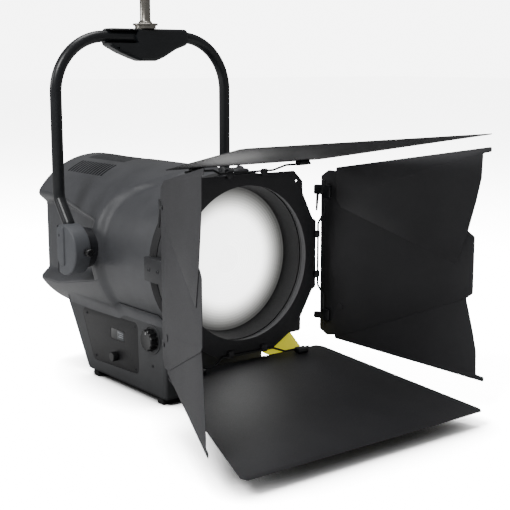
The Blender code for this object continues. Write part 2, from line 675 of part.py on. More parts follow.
def build_yoke():
    path = yoke_path()
    top = YOKE_TOP
    tube = rod("yoke_tube", path, YOKE_TUBE_R, 12)
    for sign in (-1.0, 1.0):
        bore = PIVOT_R + PIVOT_CLEAR
        ring = [(bore, sign * 166.0), (36.0, sign * 166.0), (36.0, sign * 178.0), (bore, sign * 178.0)]
        fuse(tube, lathe("hub", ring, "x", (TILT_Y, TILT_Z), 24))
    cut(tube, drum("bolt_hole", "z", (BRACKET_X, YOKE_Y), 5.5, top - 21.0, top + 19.0, 24))
    cut(tube, drum("lock_hole", "y", (-172.0, TILT_Z), 3.0 + RUN, 210.0, 245.0, 24))
    axis = (0.0, TILT_Y, TILT_Z)
    finish(tube, SATIN_BLACK, 0.4, 0.35, axis)
    mid = BRACKET_X
    half = BRACKET_HALF
    shape = [
        (mid - half + 5.0, top + 14.0), (mid + half - 5.0, top + 14.0), (mid + half, top + 9.0), (mid + half, top - 11.0),
        (mid + half - 6.0, top - 16.0), (mid + 56.0, top - 22.0), (mid + 31.0, top - 36.0), (mid + 14.0, top - 42.0),
        (mid - 16.0, top - 42.0), (mid - 32.0, top - 37.0), (mid - 56.0, top - 28.0), (mid - half + 6.0, top - 19.0),
        (mid - half, top - 13.0), (mid - half, top + 9.0),
    ]
    depth = BRACKET_DEPTH
    bracket = prism("yoke_bracket", shape, "y", YOKE_Y - depth, YOKE_Y + depth)
    cut(bracket, rod("tube_way", [p for p in path if p[2] > top - 121.0], YOKE_TUBE_R + GAP, 12))
    cut(bracket, box("window", (-120.0, YOKE_Y - 30.0, top - 10.6), (mid - 22.0, YOKE_Y, top + 10.6)))
    cut(bracket, drum("bolt_way", "z", (mid, YOKE_Y), 5.0 + RUN, top - 61.0, top + 29.0, 24))
    cut(bracket, drum("pocket", "z", (mid, YOKE_Y), 12.0, top - 51.0, top - 28.0, 24))
    finish(bracket, SATIN_BLACK, 0.4, 0.5, axis)
    for name, sign in (("cap_left", -1.0), ("cap_right", 1.0)):
        profile = [
            (CAP_R - 2.5, sign * 162.0), (CAP_R, sign * 162.0), (CAP_R, sign * 188.0), (CAP_R - 4.0, sign * 192.0),
            (0.0, sign * 192.0), (0.0, sign * 189.5), (CAP_R - 2.5, sign * 189.5),
        ]
        cap = lathe(name, profile, "x", (TILT_Y, TILT_Z), 28)
        ridge = drum("ridge", "x", (TILT_Y, TILT_Z), CAP_R - 4.5, min(sign * 191.0, sign * 194.5),
                     max(sign * 191.0, sign * 194.5), 28)
        keep(ridge, box("strip", (-300.0, TILT_Y - 11.0, TILT_Z - 27.0), (300.0, TILT_Y + 13.0, TILT_Z + 60.0)))
        fuse(cap, ridge)
        for angle in (90.0, 210.0, 330.0):
            y = TILT_Y + 28.0 * math.cos(math.radians(angle + 90.0))
            z = TILT_Z + 28.0 * math.sin(math.radians(angle + 90.0))
            low = min(sign * 178.3, sign * 190.5)
            high = max(sign * 178.3, sign * 190.5)
            fuse(cap, drum("post", "x", (y, z), 3.5, low, high, 12))
        side = [(sign * (YOKE_HALF - 1.5), 253.5, 32.0)] + [p for p in yoke_path()[1:6]]
        side = [(sign * abs(x), y, z) for x, y, z in side]
        cut(cap, rod("tube_way", side, YOKE_TUBE_R + 4.0 * GAP, 12))
        if sign < 0.0:
            cut(cap, drum("lock_way", "y", (-172.0, TILT_Z), 3.4, 200.0, 216.0, 24))
        finish(cap, SATIN_BLACK, 0.1, 0.5, axis)
    tip = TILT_Y - PIVOT_R - LOCK_CLEAR
    lock = [(0.0, 194.0), (6.5, 194.0), (7.0, 195.0), (7.0, 206.5), (3.0, 206.5), (3.0, tip), (0.0, tip)]
    finish(lathe("tilt_lock", lock, "y", (-172.0, TILT_Z), 24), SATIN_BLACK, 0.2, 0.4, (-172.0, 206.5, TILT_Z))
    pin = [
        (0.0, top + 117.0), (11.5, top + 117.0), (SPIGOT_R, top + 114.0), (SPIGOT_R, top + 68.0), (9.3, top + 64.5), (9.3, top + 28.0), (12.0, top + 25.0),
        (12.0, top + 23.0), (22.0, top + 23.0), (22.0, top + 19.5), (18.5, top + 19.5), (18.5, top + 14.3), (5.0, top + 14.3), (5.0, top - 28.3),
        (9.5, top - 28.3), (9.5, top - 36.0), (0.0, top - 36.0),
    ]
    finish(lathe("spigot", pin, "z", (BRACKET_X, YOKE_Y), 24), STEEL, 1.0, 0.25, (BRACKET_X, YOKE_Y, top + 14.0))


def build_cup():
    block = box("cup_bracket", (76.0, 34.0, -134.0), (124.0, BASE_FRONT - GAP, -121.0))
    cut(block, drum("bore", "z", (CUP_X, CUP_Y), 5.0 + RUN, -150.0, -100.0, 24))
    finish(block, SATIN_BLACK, 0.3, 0.5)
    bell = [
        (0.0, -117.0), (8.0, -117.0), (8.0, -120.7), (5.0, -120.7), (5.0, -134.3), (12.0, -134.3), (13.0, -137.0),
        (CUP_R - 1.0, -165.0), (CUP_R, -166.0), (CUP_R, -173.0), (CUP_R - 2.0, -173.0), (CUP_R - 2.0, -167.0),
        (11.0, -139.5), (0.0, -139.5),
    ]
    finish(lathe("focus_cup", bell, "z", (CUP_X, CUP_Y), 24), YELLOW, 0.0, 0.5, (CUP_X, CUP_Y, -134.0))


def build_door_frame():
    outline = [
        (99.0, 143.0), (117.0, 125.0), (118.0, 105.0), (140.0, 61.0), (147.5, 57.0), (147.5, -57.0), (140.0, -61.0),
        (115.0, -104.0), (115.0, -128.0), (90.0, -128.0), (57.0, -148.0),
    ]
    left = [(-x, z) for x, z in reversed(outline)]
    frame = prism("door_frame", outline + left, "y", -1.5, 0.5)
    tube = [(128.0, -0.5), (131.0, -0.5), (131.0, 10.4), (146.0, 10.4), (146.0, 12.7), (128.0, 12.7)]
    fuse(frame, lathe("flange", tube, "y", (0.0, 0.0)))
    cut(frame, drum("aperture", "y", (0.0, 0.0), APERTURE_R, -20.0, 5.0, ROUND))
    for middle in (-34.0, 34.0):
        for sign in (-1.0, 1.0):
            near = sign * (SIDE_HINGE_X - 7.0)
            far = sign * (SIDE_HINGE_X + 3.6)
            low = (min(near, far), HINGE_Y - 3.6, middle - 13.0)
            high = (max(near, far), -1.0, middle + 13.0)
            fuse(frame, box("clip", low, high))
            near = sign * (TOP_HINGE_Z - 9.0)
            far = sign * (TOP_HINGE_Z + 3.6)
            low = (middle - 13.0, HINGE_Y - 3.6, min(near, far))
            high = (middle + 13.0, -1.0, max(near, far))
            fuse(frame, box("clip", low, high))
    for sign in (-1.0, 1.0):
        hole = WIRE_R + 0.09
        cut(frame, drum("side_hole", "z", (sign * SIDE_HINGE_X, HINGE_Y), hole, -60.0, 60.0, 24))
        cut(frame, drum("top_hole", "x", (HINGE_Y, sign * TOP_HINGE_Z), hole, -60.0, 60.0, 24))
    return finish(frame, LEAF_BLACK, 0.3, 0.6, (0.0, 0.0, 0.0))


def leaf_turn(side, opening):
    """Frame of a leaf: s out along the leaf, t along its hinge, n away from the beam."""
    angle = math.radians(opening)
    turn = Matrix.Identity(4)
    if side in ("left", "right"):
        sign = 1.0 if side == "right" else -1.0
        turn.col[0][:3] = (sign * math.sin(angle), -math.cos(angle), 0.0)
        turn.col[1][:3] = (0.0, 0.0, 1.0)
        turn.col[2][:3] = (sign * math.cos(angle), math.sin(angle), 0.0)
        turn.col[3][:3] = (sign * SIDE_HINGE_X, HINGE_Y, 0.0)
    else:
        sign = 1.0 if side == "top" else -1.0
        turn.col[0][:3] = (0.0, -math.cos(angle), sign * math.sin(angle))
        turn.col[1][:3] = (1.0, 0.0, 0.0)
        turn.col[2][:3] = (0.0, math.sin(angle), sign * math.cos(angle))
        turn.col[3][:3] = (0.0, HINGE_Y, sign * TOP_HINGE_Z)
    return turn


LEAVES = (("right", RIGHT_OPEN), ("left", LEFT_OPEN), ("top", TOP_OPEN), ("bottom", BOTTOM_OPEN))
FLAP = [
    (27.0, 146.0), (286.0, 189.0), (286.0, 181.0), (273.0, 178.0), (272.0, 140.0), (265.0, 104.0), (252.0, 50.0),
    (235.0, 0.0), (36.0, 80.0), (27.0, 94.0),
]


def build_leaves():
    inner_n = LEAF_OFFSET - SHEET / 2.0
    outer_n = LEAF_OFFSET + SHEET / 2.0
    for side, opening in LEAVES:
        turn = leaf_turn(side, opening)
        if side in ("left", "right"):
            half = SIDE_LEAF_HALF
            tab = SIDE_TAB_HALF
            long = SIDE_LEAF_LENGTH
            upper = [(0.0, half - 10.0), (13.0, half), (40.0, half - 2.0), (long - 10.0, tab + 8.0), (long, tab)]
            origin = (math.copysign(SIDE_HINGE_X, 1.0 if side == "right" else -1.0), HINGE_Y, 0.0)
        else:
            upper = [
                (0.0, TOP_LEAF_HALF - 8.0), (8.0, TOP_LEAF_HALF), (TOP_LEAF_LENGTH - 8.0, TOP_LEAF_WIDE),
                (TOP_LEAF_LENGTH, TOP_LEAF_WIDE - 6.0),
            ]
            origin = (0.0, HINGE_Y, TOP_HINGE_Z if side == "top" else -TOP_HINGE_Z)
        lower = [(s, -t) for s, t in reversed(upper)]
        leaf = prism("leaf_" + side, upper + lower, "z", inner_n, outer_n, turn)
        if side in ("left", "right"):
            for sign in (-1.0, 1.0):
                cut(leaf, drum("hole", "z", (PIN_S, sign * PIN_T), PIN_R + RUN, 0.0, 30.0, 20, turn))
        finish(leaf, LEAF_BLACK, 0.3, 0.65, origin)
        reach = 52.0
        path = [(9.0, -124.0, 6.0), (9.0, -72.0, 6.0), (0.0, -reach, 0.0), (0.0, reach, 0.0), (9.0, 72.0, 6.0),
                (9.0, 124.0, 6.0)]
        wire = rod("wire_" + side, path, WIRE_R, 8, turn)
        for sign in (-1.0, 1.0):
            low = (2.5, min(sign * 92.0, sign * 118.0), 2.4)
            high = (23.0, max(sign * 92.0, sign * 118.0), inner_n - GAP)
            fuse(wire, box("clamp", low, high, turn))
        finish(wire, SATIN_BLACK, 0.5, 0.4, origin)
        if side in ("top", "bottom"):
            continue
        for name, up in (("upper", 1.0), ("lower", -1.0)):
            camera_side = (up > 0.0) == (side == "left")
            if camera_side:
                low = outer_n + GAP
                pin_low = inner_n - GAP - 1.0
                pin_high = low + 0.5
                head_low = pin_low
            else:
                low = inner_n - GAP - FLAP_SHEET
                pin_low = low + 0.5
                pin_high = outer_n + GAP + 1.0
                head_low = outer_n + GAP
            shape = [(s, up * t) for s, t in FLAP]
            flap = prism("flap_" + side + "_" + name, shape, "z", low, low + FLAP_SHEET, turn)
            spot = (PIN_S, up * PIN_T)
            fuse(flap, drum("pin", "z", spot, PIN_R, pin_low, pin_high, 20, turn))
            fuse(flap, drum("head", "z", spot, 5.5, head_low, head_low + 1.0, 16, turn))
            centre = turn @ Vector((PIN_S, up * PIN_T, LEAF_OFFSET))
            finish(flap, LEAF_BLACK, 0.3, 0.65, tuple(centre))


build_hood()
build_barrel()
build_base()
build_base_floor()
build_feet()
build_controls()
build_electrics()
build_rear()
build_optics()
build_carriage()
build_holder()
build_pivots()
build_yoke()
build_cup()
build_door_frame()
build_leaves()
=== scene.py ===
"""A lit Fresnel stage spotlight on its feet: its looks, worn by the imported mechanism."""

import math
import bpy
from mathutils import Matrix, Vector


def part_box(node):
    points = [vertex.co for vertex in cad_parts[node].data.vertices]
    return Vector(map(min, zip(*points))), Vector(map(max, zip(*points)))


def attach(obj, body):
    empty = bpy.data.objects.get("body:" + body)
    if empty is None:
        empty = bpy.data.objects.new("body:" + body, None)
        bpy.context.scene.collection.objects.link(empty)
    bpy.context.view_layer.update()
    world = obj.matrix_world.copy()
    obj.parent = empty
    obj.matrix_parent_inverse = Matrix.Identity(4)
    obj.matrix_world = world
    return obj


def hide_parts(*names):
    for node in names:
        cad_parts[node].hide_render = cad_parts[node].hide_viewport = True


bl_info = {
    "name": "Fresnel spotlight",
    "version": (1, 0, 0),
    "blender": (4, 5, 0),
    "location": "View3D > Sidebar > Spotlight",
    "description": "Builds a Fresnel stage spotlight with an eight-leaf barndoor around its mechanism",
    "category": "Object",
}

import bmesh
import bpy
import numpy as np
from mathutils import Vector

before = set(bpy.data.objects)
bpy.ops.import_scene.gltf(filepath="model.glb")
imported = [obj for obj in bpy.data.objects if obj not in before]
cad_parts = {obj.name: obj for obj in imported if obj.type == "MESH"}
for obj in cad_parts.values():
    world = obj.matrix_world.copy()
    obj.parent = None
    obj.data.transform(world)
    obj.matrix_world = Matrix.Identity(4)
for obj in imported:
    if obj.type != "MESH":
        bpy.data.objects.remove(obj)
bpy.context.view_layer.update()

# Shapes are worked out in millimetres from the barndoor's face (Y, backwards) and the lens axis (Z, upwards).
MM = 0.001
BARREL_LOW, BARREL_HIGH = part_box("barrel_shell")
FACE_Y = BARREL_LOW.y - 67.3 * MM
AXIS_Z = (BARREL_LOW.z + BARREL_HIGH.z) / 2.0
ORIGIN = np.array([0.0, FACE_Y, AXIS_Z])

# Centres of what turns, as (Y, Z), and of the pole cup, as (X, Y).
KNOB_AT = (121.0, -134.0)
MENU_AT = (236.0, -187.0)
PIVOT_AT = (252.0, 8.0)
CUP_AT = (112.0, 45.0)


# ------------------------------------------------------------------ shapes

def unit(v):
    """Each row divided by its own length."""
    return v / np.linalg.norm(v, axis=-1, keepdims=True)


def smooth(t):
    """Zero below 0, one above 1, and 3t^2 - 2t^3 between."""
    t = np.clip(t, 0.0, 1.0)
    return t * t * (3.0 - 2.0 * t)


def fillet(corners, radius, steps=6):
    """A closed flat outline whose corners are arcs tangent to both sides, with one radius or one per corner."""
    corners = np.asarray(corners, float)
    radii = np.broadcast_to(radius, len(corners))
    pieces = []
    for p, before, after, r in zip(corners, np.roll(corners, 1, 0), np.roll(corners, -1, 0), radii):
        a = unit(before - p)
        b = unit(after - p)
        half = math.acos(float(np.clip(a @ b, -1.0, 1.0))) / 2.0
        sweep = math.pi - 2.0 * half
        if r <= 0.0 or sweep < 0.02:
            pieces.append(p[None])
            continue
        centre = p + unit(a + b) * r / math.sin(half)
        start = p + a * r / math.tan(half) - centre
        end = p + b * r / math.tan(half) - centre
        t = np.linspace(0.0, 1.0, steps)[:, None]
        pieces.append(centre + (np.sin((1.0 - t) * sweep) * start + np.sin(t * sweep) * end) / math.sin(sweep))
    return np.concatenate(pieces)


def anticlockwise(outline):
    """The outline, reversed if its signed area is negative."""
    nxt = np.roll(outline, -1, 0)
    area = np.sum(outline[:, 0] * nxt[:, 1] - nxt[:, 0] * outline[:, 1])
    return outline if area > 0.0 else outline[::-1]


def inset(outline, amount):
    """Each point moved inwards along the mean of its two sides' normals, mitred."""
    normal = unit(np.roll(outline, -1, 0) - outline)[:, ::-1] * np.array([-1.0, 1.0])
    before = np.roll(normal, 1, 0)
    share = 1.0 + np.sum(normal * before, axis=1, keepdims=True)
    return outline + amount * (normal + before) / np.maximum(share, 0.3)


def stack(rings, wrap=False, caps=True):
    """Quads between each ring and the next; wrap joins the last ring to the first, and caps close the ends."""
    k, n = rings.shape[:2]
    rows = np.arange(k if wrap else k - 1)[:, None]
    j = np.arange(n)
    here = rows * n
    there = ((rows + 1) % k) * n
    m = (j + 1) % n
    faces = np.stack([here + j, here + m, there + m, there + j], -1).reshape(-1, 4).tolist()
    if caps and not wrap:
        faces.append(list(range(n))[::-1])
        faces.append(list(range((k - 1) * n, k * n)))
    return rings.reshape(-1, 3), faces


def join(*parts):
    """Several (points, faces) pairs as one."""
    points = []
    faces = []
    count = 0
    for p, f in parts:
        points.append(p)
        faces += [[i + count for i in face] for face in f]
        count += len(p)
    return np.concatenate(points), faces


def on_axis(axis, a, b, c):
    """Flat coordinates a, b and a height c put along X, Y or Z."""
    order = {"x": (c, a, b), "y": (a, c, b), "z": (a, b, c)}[axis]
    return np.stack(np.broadcast_arrays(*order), -1)


def slab(outline, axis, low, high, edge=0.0, steps=3):
    """A flat outline given thickness: rings step inwards by a quarter circle of radius edge at both faces."""
    outline = anticlockwise(np.asarray(outline, float))
    if edge <= 0.0:
        levels = [(0.0, low), (0.0, high)]
    else:
        turn = np.linspace(0.0, math.pi / 2.0, steps)
        levels = [(edge * (1.0 - math.sin(a)), low + edge * (1.0 - math.cos(a))) for a in turn]
        levels += [(edge * (1.0 - math.cos(a)), high - edge * (1.0 - math.sin(a))) for a in turn]
    rings = []
    for amount, height in levels:
        flat = inset(outline, amount)
        rings.append(on_axis(axis, flat[:, 0], flat[:, 1], np.full(len(flat), height)))
    return stack(np.stack(rings))


def block(low, high, edge=0.8, axis="z", steps=3):
    """A box with rounded edges between two corners."""
    pick = {"x": (1, 2, 0), "y": (0, 2, 1), "z": (0, 1, 2)}[axis]
    a, b, c = pick
    outline = fillet([(low[a], low[b]), (high[a], low[b]), (high[a], high[b]), (low[a], high[b])], edge * 1.2, 4)
    return slab(outline, axis, low[c], high[c], edge * 0.9, steps)


def turned(profile, axis="y", centre=(0.0, 0.0), segments=96, ring=False):
    """A profile of (radius, station) turned about an axis; ring joins its last point to its first."""
    profile = np.asarray(profile, float)
    angle = np.linspace(0.0, 2.0 * math.pi, segments, endpoint=False)
    u = centre[0] + profile[:, :1] * np.cos(angle)
    v = centre[1] + profile[:, :1] * np.sin(angle)
    return stack(on_axis(axis, u, v, profile[:, 1:]), wrap=ring, caps=False)


def plug(radius, low, high, axis="y", centre=(0.0, 0.0), segments=32):
    """A plain round solid between two stations on an axis."""
    return turned([(0.01, low), (radius, low), (radius, high), (0.01, high)], axis, centre, segments)


def soften(profile, radius, steps=4, closed=False):
    """Rounds the inner corners of an open or closed profile."""
    profile = np.asarray(profile, float)
    radii = np.broadcast_to(radius, len(profile)).astype(float).copy()
    if not closed:
        radii[0] = 0.0
        radii[-1] = 0.0
    return fillet(profile, radii, steps)


def bar(path, radius, segments=20, guide=(0.0, 1.0, 0.0), dome=0.35):
    """A round bar: a circle carried square to the path, its ends drawn in to a dome."""
    path = np.asarray(path, float)
    radius = np.broadcast_to(np.asarray(radius, float), len(path))
    tangent = unit(np.gradient(path, axis=0))
    side = unit(np.cross(tangent, np.asarray(guide, float)))
    other = np.cross(tangent, side)
    ends = []
    for index, sign in ((0, -1.0), (-1, 1.0)):
        tuck = np.linspace(0.0, 1.0, 4)[1:] if dome else np.zeros(0)
        centres = path[index] + sign * tangent[index] * radius[index] * dome * np.sin(tuck * math.pi / 2.0)[:, None]
        ends.append((centres, radius[index] * np.cos(tuck * math.pi / 2.0) + 1e-4, index))
    angle = np.linspace(0.0, 2.0 * math.pi, segments, endpoint=False)[:, None]
    circle = np.cos(angle) * side[:, None] + np.sin(angle) * other[:, None]
    rings = path[:, None] + radius[:, None, None] * circle
    head = ends[0][0][::-1, None] + ends[0][1][::-1, None, None] * circle[:1]
    tail = ends[1][0][:, None] + ends[1][1][:, None, None] * circle[-1:]
    return stack(np.concatenate([head, rings, tail]))


def bend(points, radius, steps=8):
    """An open path whose inner corners are arcs of one radius."""
    points = np.asarray(points, float)
    pieces = [points[:1]]
    for p, before, after in zip(points[1:-1], points[:-2], points[2:]):
        a = unit(before - p)
        b = unit(after - p)
        half = math.acos(float(np.clip(a @ b, -1.0, 1.0))) / 2.0
        sweep = math.pi - 2.0 * half
        if sweep < 0.02:
            pieces.append(p[None])
            continue
        reach = min(radius / math.tan(half), 0.49 * np.linalg.norm(before - p), 0.49 * np.linalg.norm(after - p))
        r = reach * math.tan(half)
        centre = p + unit(a + b) * r / math.sin(half)
        start = p + a * reach - centre
        end = p + b * reach - centre
        t = np.linspace(0.0, 1.0, steps)[:, None]
        pieces.append(centre + (np.sin((1.0 - t) * sweep) * start + np.sin(t * sweep) * end) / math.sin(sweep))
    pieces.append(points[-1:])
    return np.concatenate(pieces)


def sheeted(outer, inner, faces):
    """A closed wall: outer faces, the same faces turned over on the inner points, and quads on free edges."""
    count = len(outer)
    quads = np.asarray(faces)
    edges = np.concatenate([quads[:, [i, (i + 1) % 4]] for i in range(4)])
    key = np.sort(edges, axis=1)
    _, first, times = np.unique(key, axis=0, return_index=True, return_counts=True)
    free = edges[first[times == 1]]
    rim = np.stack([free[:, 1], free[:, 0], free[:, 0] + count, free[:, 1] + count], 1)
    everything = np.concatenate([quads, quads[:, ::-1] + count, rim])
    return np.concatenate([outer, inner]), everything.tolist()


def screw_head(axis, centre, radius, low, high, socket=0.5):
    """A cap-screw head with a six-sided socket: rings inwards over the rim, then down a hexagon."""
    angle = np.linspace(0.0, 2.0 * math.pi, 24, endpoint=False)
    six = np.cos(math.pi / 6.0) / np.cos((angle + math.pi / 6.0) % (math.pi / 3.0) - math.pi / 6.0)
    tip = 1.0 if high > low else -1.0
    rim = 0.15 * radius
    levels = [
        (radius, low, 0), (radius, high - tip * rim, 0), (radius - rim, high, 0),
        (radius * socket, high, 1), (radius * socket, high - tip * radius * 0.5, 1),
    ]
    rings = []
    for r, height, hexed in levels:
        reach = r * (six if hexed else 1.0)
        u = centre[0] + reach * np.cos(angle)
        v = centre[1] + reach * np.sin(angle)
        rings.append(on_axis(axis, u, v, np.full(len(angle), height)))
    return stack(np.stack(rings))


def cut_out(target, *tools):
    """An exact boolean takes each tool's (points, faces) out of the target object."""
    for points, faces in tools:
        tool = bpy.data.objects.new("cutter", mesh_of("cutter", points, faces))
        bpy.context.scene.collection.objects.link(tool)
        step = target.modifiers.new("cut", "BOOLEAN")
        step.operation = "DIFFERENCE"
        step.solver = "EXACT"
        step.object = tool
        bpy.context.view_layer.update()
        graph = bpy.context.evaluated_depsgraph_get()
        mesh = bpy.data.meshes.new_from_object(target.evaluated_get(graph))
        target.modifiers.clear()
        target.data = mesh
        bpy.data.objects.remove(tool, do_unlink=True)
    shade(target.data)


def mesh_of(name, points, faces, turn=None):
    """A closed mesh in metres: doubles merged, then normals pointed outwards."""
    points = np.asarray(points, float)
    if turn is not None:
        points = points @ turn[:3, :3].T + turn[:3, 3]
    mesh = bpy.data.meshes.new(name)
    mesh.from_pydata((points * MM + ORIGIN).tolist(), [], faces)
    bm = bmesh.new()
    bm.from_mesh(mesh)
    bmesh.ops.remove_doubles(bm, verts=bm.verts, dist=0.000002)
    bmesh.ops.dissolve_degenerate(bm, edges=bm.edges, dist=0.0000005)
    bmesh.ops.recalc_face_normals(bm, faces=bm.faces)
    bm.to_mesh(mesh)
    bm.free()
    return mesh


def shade(mesh, angle=34.0):
    """Smooth faces with sharp edges past an angle."""
    mesh.polygons.foreach_set("use_smooth", np.ones(len(mesh.polygons), bool))
    mesh.set_sharp_from_angle(angle=math.radians(angle))


def piece(name, shape, material, body, replaces=(), turn=None, angle=34.0):
    """Puts a shape in the scene as one finished piece that rides a body."""
    points, faces = shape
    mesh = mesh_of(name, points, faces, turn)
    shade(mesh, angle)
    obj = bpy.data.objects.new(name, mesh)
    bpy.context.scene.collection.objects.link(obj)
    obj.data.materials.append(material)
    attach(obj, body)
    if replaces:
        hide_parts(*replaces)
    return obj


# --------------------------------------------------------------- materials

def linear(code):
    """An sRGB hex colour as linear RGBA: divided by 12.92 below 0.04045, else ((c + 0.055) / 1.055) ^ 2.4."""
    value = code.lstrip("#")
    srgb = [int(value[i:i + 2], 16) / 255.0 for i in (0, 2, 4)]
    rgb = [c / 12.92 if c <= 0.04045 else ((c + 0.055) / 1.055) ** 2.4 for c in srgb]
    return (*rgb, 1.0)


def add(tree, kind, inputs=None, **settings):
    """Adds a node; a socket given for an input is linked to it, and any other value is set on it."""
    node = tree.nodes.new(kind)
    for name, value in settings.items():
        setattr(node, name, value)
    for name, value in (inputs or {}).items():
        if isinstance(value, bpy.types.NodeSocket):
            tree.links.new(value, node.inputs[name])
        else:
            node.inputs[name].default_value = value
    return node


def blank(name):
    """A material with only its Principled shader and output, the shader, and its object coordinates."""
    material = bpy.data.materials.new(name)
    material.use_nodes = True
    tree = material.node_tree
    shader = tree.nodes["Principled BSDF"]
    place = add(tree, "ShaderNodeTexCoord").outputs["Object"]
    return material, tree, shader, place


def coated(name, light, dark, roughness, grain, height, patch=0.035, metallic=0.0, ior=1.5, spread=0.06):
    """A surface whose colour drifts between two tones over a patch size, with a bumpy grain of a real size."""
    material, tree, shader, place = blank(name)
    cloud = add(tree, "ShaderNodeTexNoise", {"Vector": place, "Scale": 1.0 / patch, "Detail": 4.0})
    tone = add(tree, "ShaderNodeValToRGB", {"Fac": cloud.outputs["Fac"]})
    tone.color_ramp.elements[0].position = 0.32
    tone.color_ramp.elements[1].position = 0.68
    tone.color_ramp.elements[0].color = linear(dark)
    tone.color_ramp.elements[1].color = linear(light)
    fine = add(tree, "ShaderNodeTexNoise", {"Vector": place, "Scale": 1.0 / grain, "Detail": 2.0})
    dull = add(tree, "ShaderNodeMapRange", {
        "Value": fine.outputs["Fac"], "From Min": 0.3, "From Max": 0.7,
        "To Min": roughness - spread, "To Max": roughness + spread,
    })
    bump = add(tree, "ShaderNodeBump", {"Height": fine.outputs["Fac"], "Strength": 0.5, "Distance": height})
    tree.links.new(tone.outputs["Color"], shader.inputs["Base Color"])
    tree.links.new(dull.outputs["Result"], shader.inputs["Roughness"])
    tree.links.new(bump.outputs["Normal"], shader.inputs["Normal"])
    shader.inputs["Metallic"].default_value = metallic
    if metallic < 0.5:
        shader.inputs["IOR"].default_value = ior
    return material


def turned_steel(name, light, dark, centre, roughness):
    """Bright metal with fine lathe marks: a noise stretched round the axis, so that it varies along it only."""
    material, tree, shader, place = blank(name)
    spot = add(tree, "ShaderNodeMapping", {
        "Vector": place, "Location": (-6.0 * centre[0], -6.0 * centre[1], 0.0), "Scale": (6.0, 6.0, 1400.0),
    })
    marks = add(tree, "ShaderNodeTexNoise", {"Vector": spot.outputs["Vector"], "Scale": 1.0, "Detail": 3.0})
    tone = add(tree, "ShaderNodeValToRGB", {"Fac": marks.outputs["Fac"]})
    tone.color_ramp.elements[0].position = 0.3
    tone.color_ramp.elements[1].position = 0.7
    tone.color_ramp.elements[0].color = linear(dark)
    tone.color_ramp.elements[1].color = linear(light)
    bump = add(tree, "ShaderNodeBump", {"Height": marks.outputs["Fac"], "Strength": 0.25, "Distance": 0.00004})
    tree.links.new(tone.outputs["Color"], shader.inputs["Base Color"])
    tree.links.new(bump.outputs["Normal"], shader.inputs["Normal"])
    shader.inputs["Metallic"].default_value = 1.0
    shader.inputs["Roughness"].default_value = roughness
    return material


def lit_lens(name, radius, strength):
    """Stepped glass lit from behind: white in the middle, dimming through faint rings to grey at the rim."""
    material, tree, shader, place = blank(name)
    flat = add(tree, "ShaderNodeMapping", {
        "Vector": place, "Location": (0.0, 0.0, -AXIS_Z), "Scale": (1.0, 0.0, 1.0),
    })
    reach = add(tree, "ShaderNodeVectorMath", {0: flat.outputs["Vector"]}, operation="LENGTH")
    share = add(tree, "ShaderNodeMath", {0: reach.outputs["Value"], 1: radius}, operation="DIVIDE")
    glow = add(tree, "ShaderNodeValToRGB", {"Fac": share.outputs["Value"]})
    ramp = glow.color_ramp
    ramp.interpolation = "B_SPLINE"
    ramp.elements[0].position = 0.0
    ramp.elements[0].color = linear("#ffffff")
    ramp.elements[1].position = 1.0
    ramp.elements[1].color = linear("#161616")
    for stop, code in ((0.60, "#ffffff"), (0.70, "#bcbcba"), (0.77, "#868684"), (0.84, "#5a5a59"),
                       (0.92, "#343433")):
        ramp.elements.new(stop).color = linear(code)
    wave = add(tree, "ShaderNodeMath", {0: reach.outputs["Value"], 1: 2.0 * math.pi / 0.0045},
               operation="MULTIPLY")
    ripple = add(tree, "ShaderNodeMath", {0: wave.outputs["Value"]}, operation="SINE")
    shade_of = add(tree, "ShaderNodeMapRange", {
        "Value": ripple.outputs["Value"], "From Min": -1.0, "From Max": 1.0, "To Min": 0.9, "To Max": 1.0,
    })
    lit = add(tree, "ShaderNodeVectorMath", {0: glow.outputs["Color"], "Scale": shade_of.outputs["Result"]},
              operation="SCALE")
    tree.links.new(lit.outputs["Vector"], shader.inputs["Emission Color"])
    shader.inputs["Emission Strength"].default_value = strength
    shader.inputs["Base Color"].default_value = linear("#5e5e5c")
    shader.inputs["Roughness"].default_value = 0.25
    shader.inputs["IOR"].default_value = 1.5
    return material


def lit_screen(name, code, faint, strength):
    """A small lit liquid-crystal face under smooth plastic, with a faint row structure."""
    material, tree, shader, place = blank(name)
    rows = add(tree, "ShaderNodeTexWave", {"Vector": place, "Scale": 160.0}, bands_direction="Z")
    tone = add(tree, "ShaderNodeValToRGB", {"Fac": rows.outputs["Fac"]})
    tone.color_ramp.elements[0].color = linear(faint)
    tone.color_ramp.elements[1].color = linear(code)
    tree.links.new(tone.outputs["Color"], shader.inputs["Emission Color"])
    shader.inputs["Emission Strength"].default_value = strength
    shader.inputs["Base Color"].default_value = linear("#101214")
    shader.inputs["Roughness"].default_value = 0.15
    return material


def seen_as(tree, lit, shown):
    """One value for the light a surface gives to others, and another for how bright the camera sees it."""
    ray = add(tree, "ShaderNodeLightPath").outputs["Is Camera Ray"]
    return add(tree, "ShaderNodeMapRange", {"Value": ray, "To Min": lit, "To Max": shown}).outputs["Result"]


def paper_sweep(name, lit, shown):
    """White paper that the camera sees burnt out, but for the deep shadow in its covered places: the lamps' real
    shadow, deepened by an ambient-occlusion shadow painted into its colour.
    """
    material = bpy.data.materials.new(name)
    material.use_nodes = True
    tree = material.node_tree
    tree.nodes.remove(tree.nodes["Principled BSDF"])
    # Painted shadow: ambient occlusion darkens the paper's colour close under the base and leaves.
    open_sky = add(tree, "ShaderNodeAmbientOcclusion", {"Distance": 0.12}, samples=16).outputs["AO"]
    painted_contact_shadow = add(tree, "ShaderNodeMath", {0: open_sky, 1: 2.2}, operation="POWER").outputs["Value"]
    tone = add(tree, "ShaderNodeMath", {0: seen_as(tree, lit, shown), 1: painted_contact_shadow}, operation="MULTIPLY")
    paper = add(tree, "ShaderNodeBsdfDiffuse", {"Color": tone.outputs["Value"]})
    tree.links.new(paper.outputs["BSDF"], tree.nodes["Material Output"].inputs["Surface"])
    return material


MATERIALS = {}


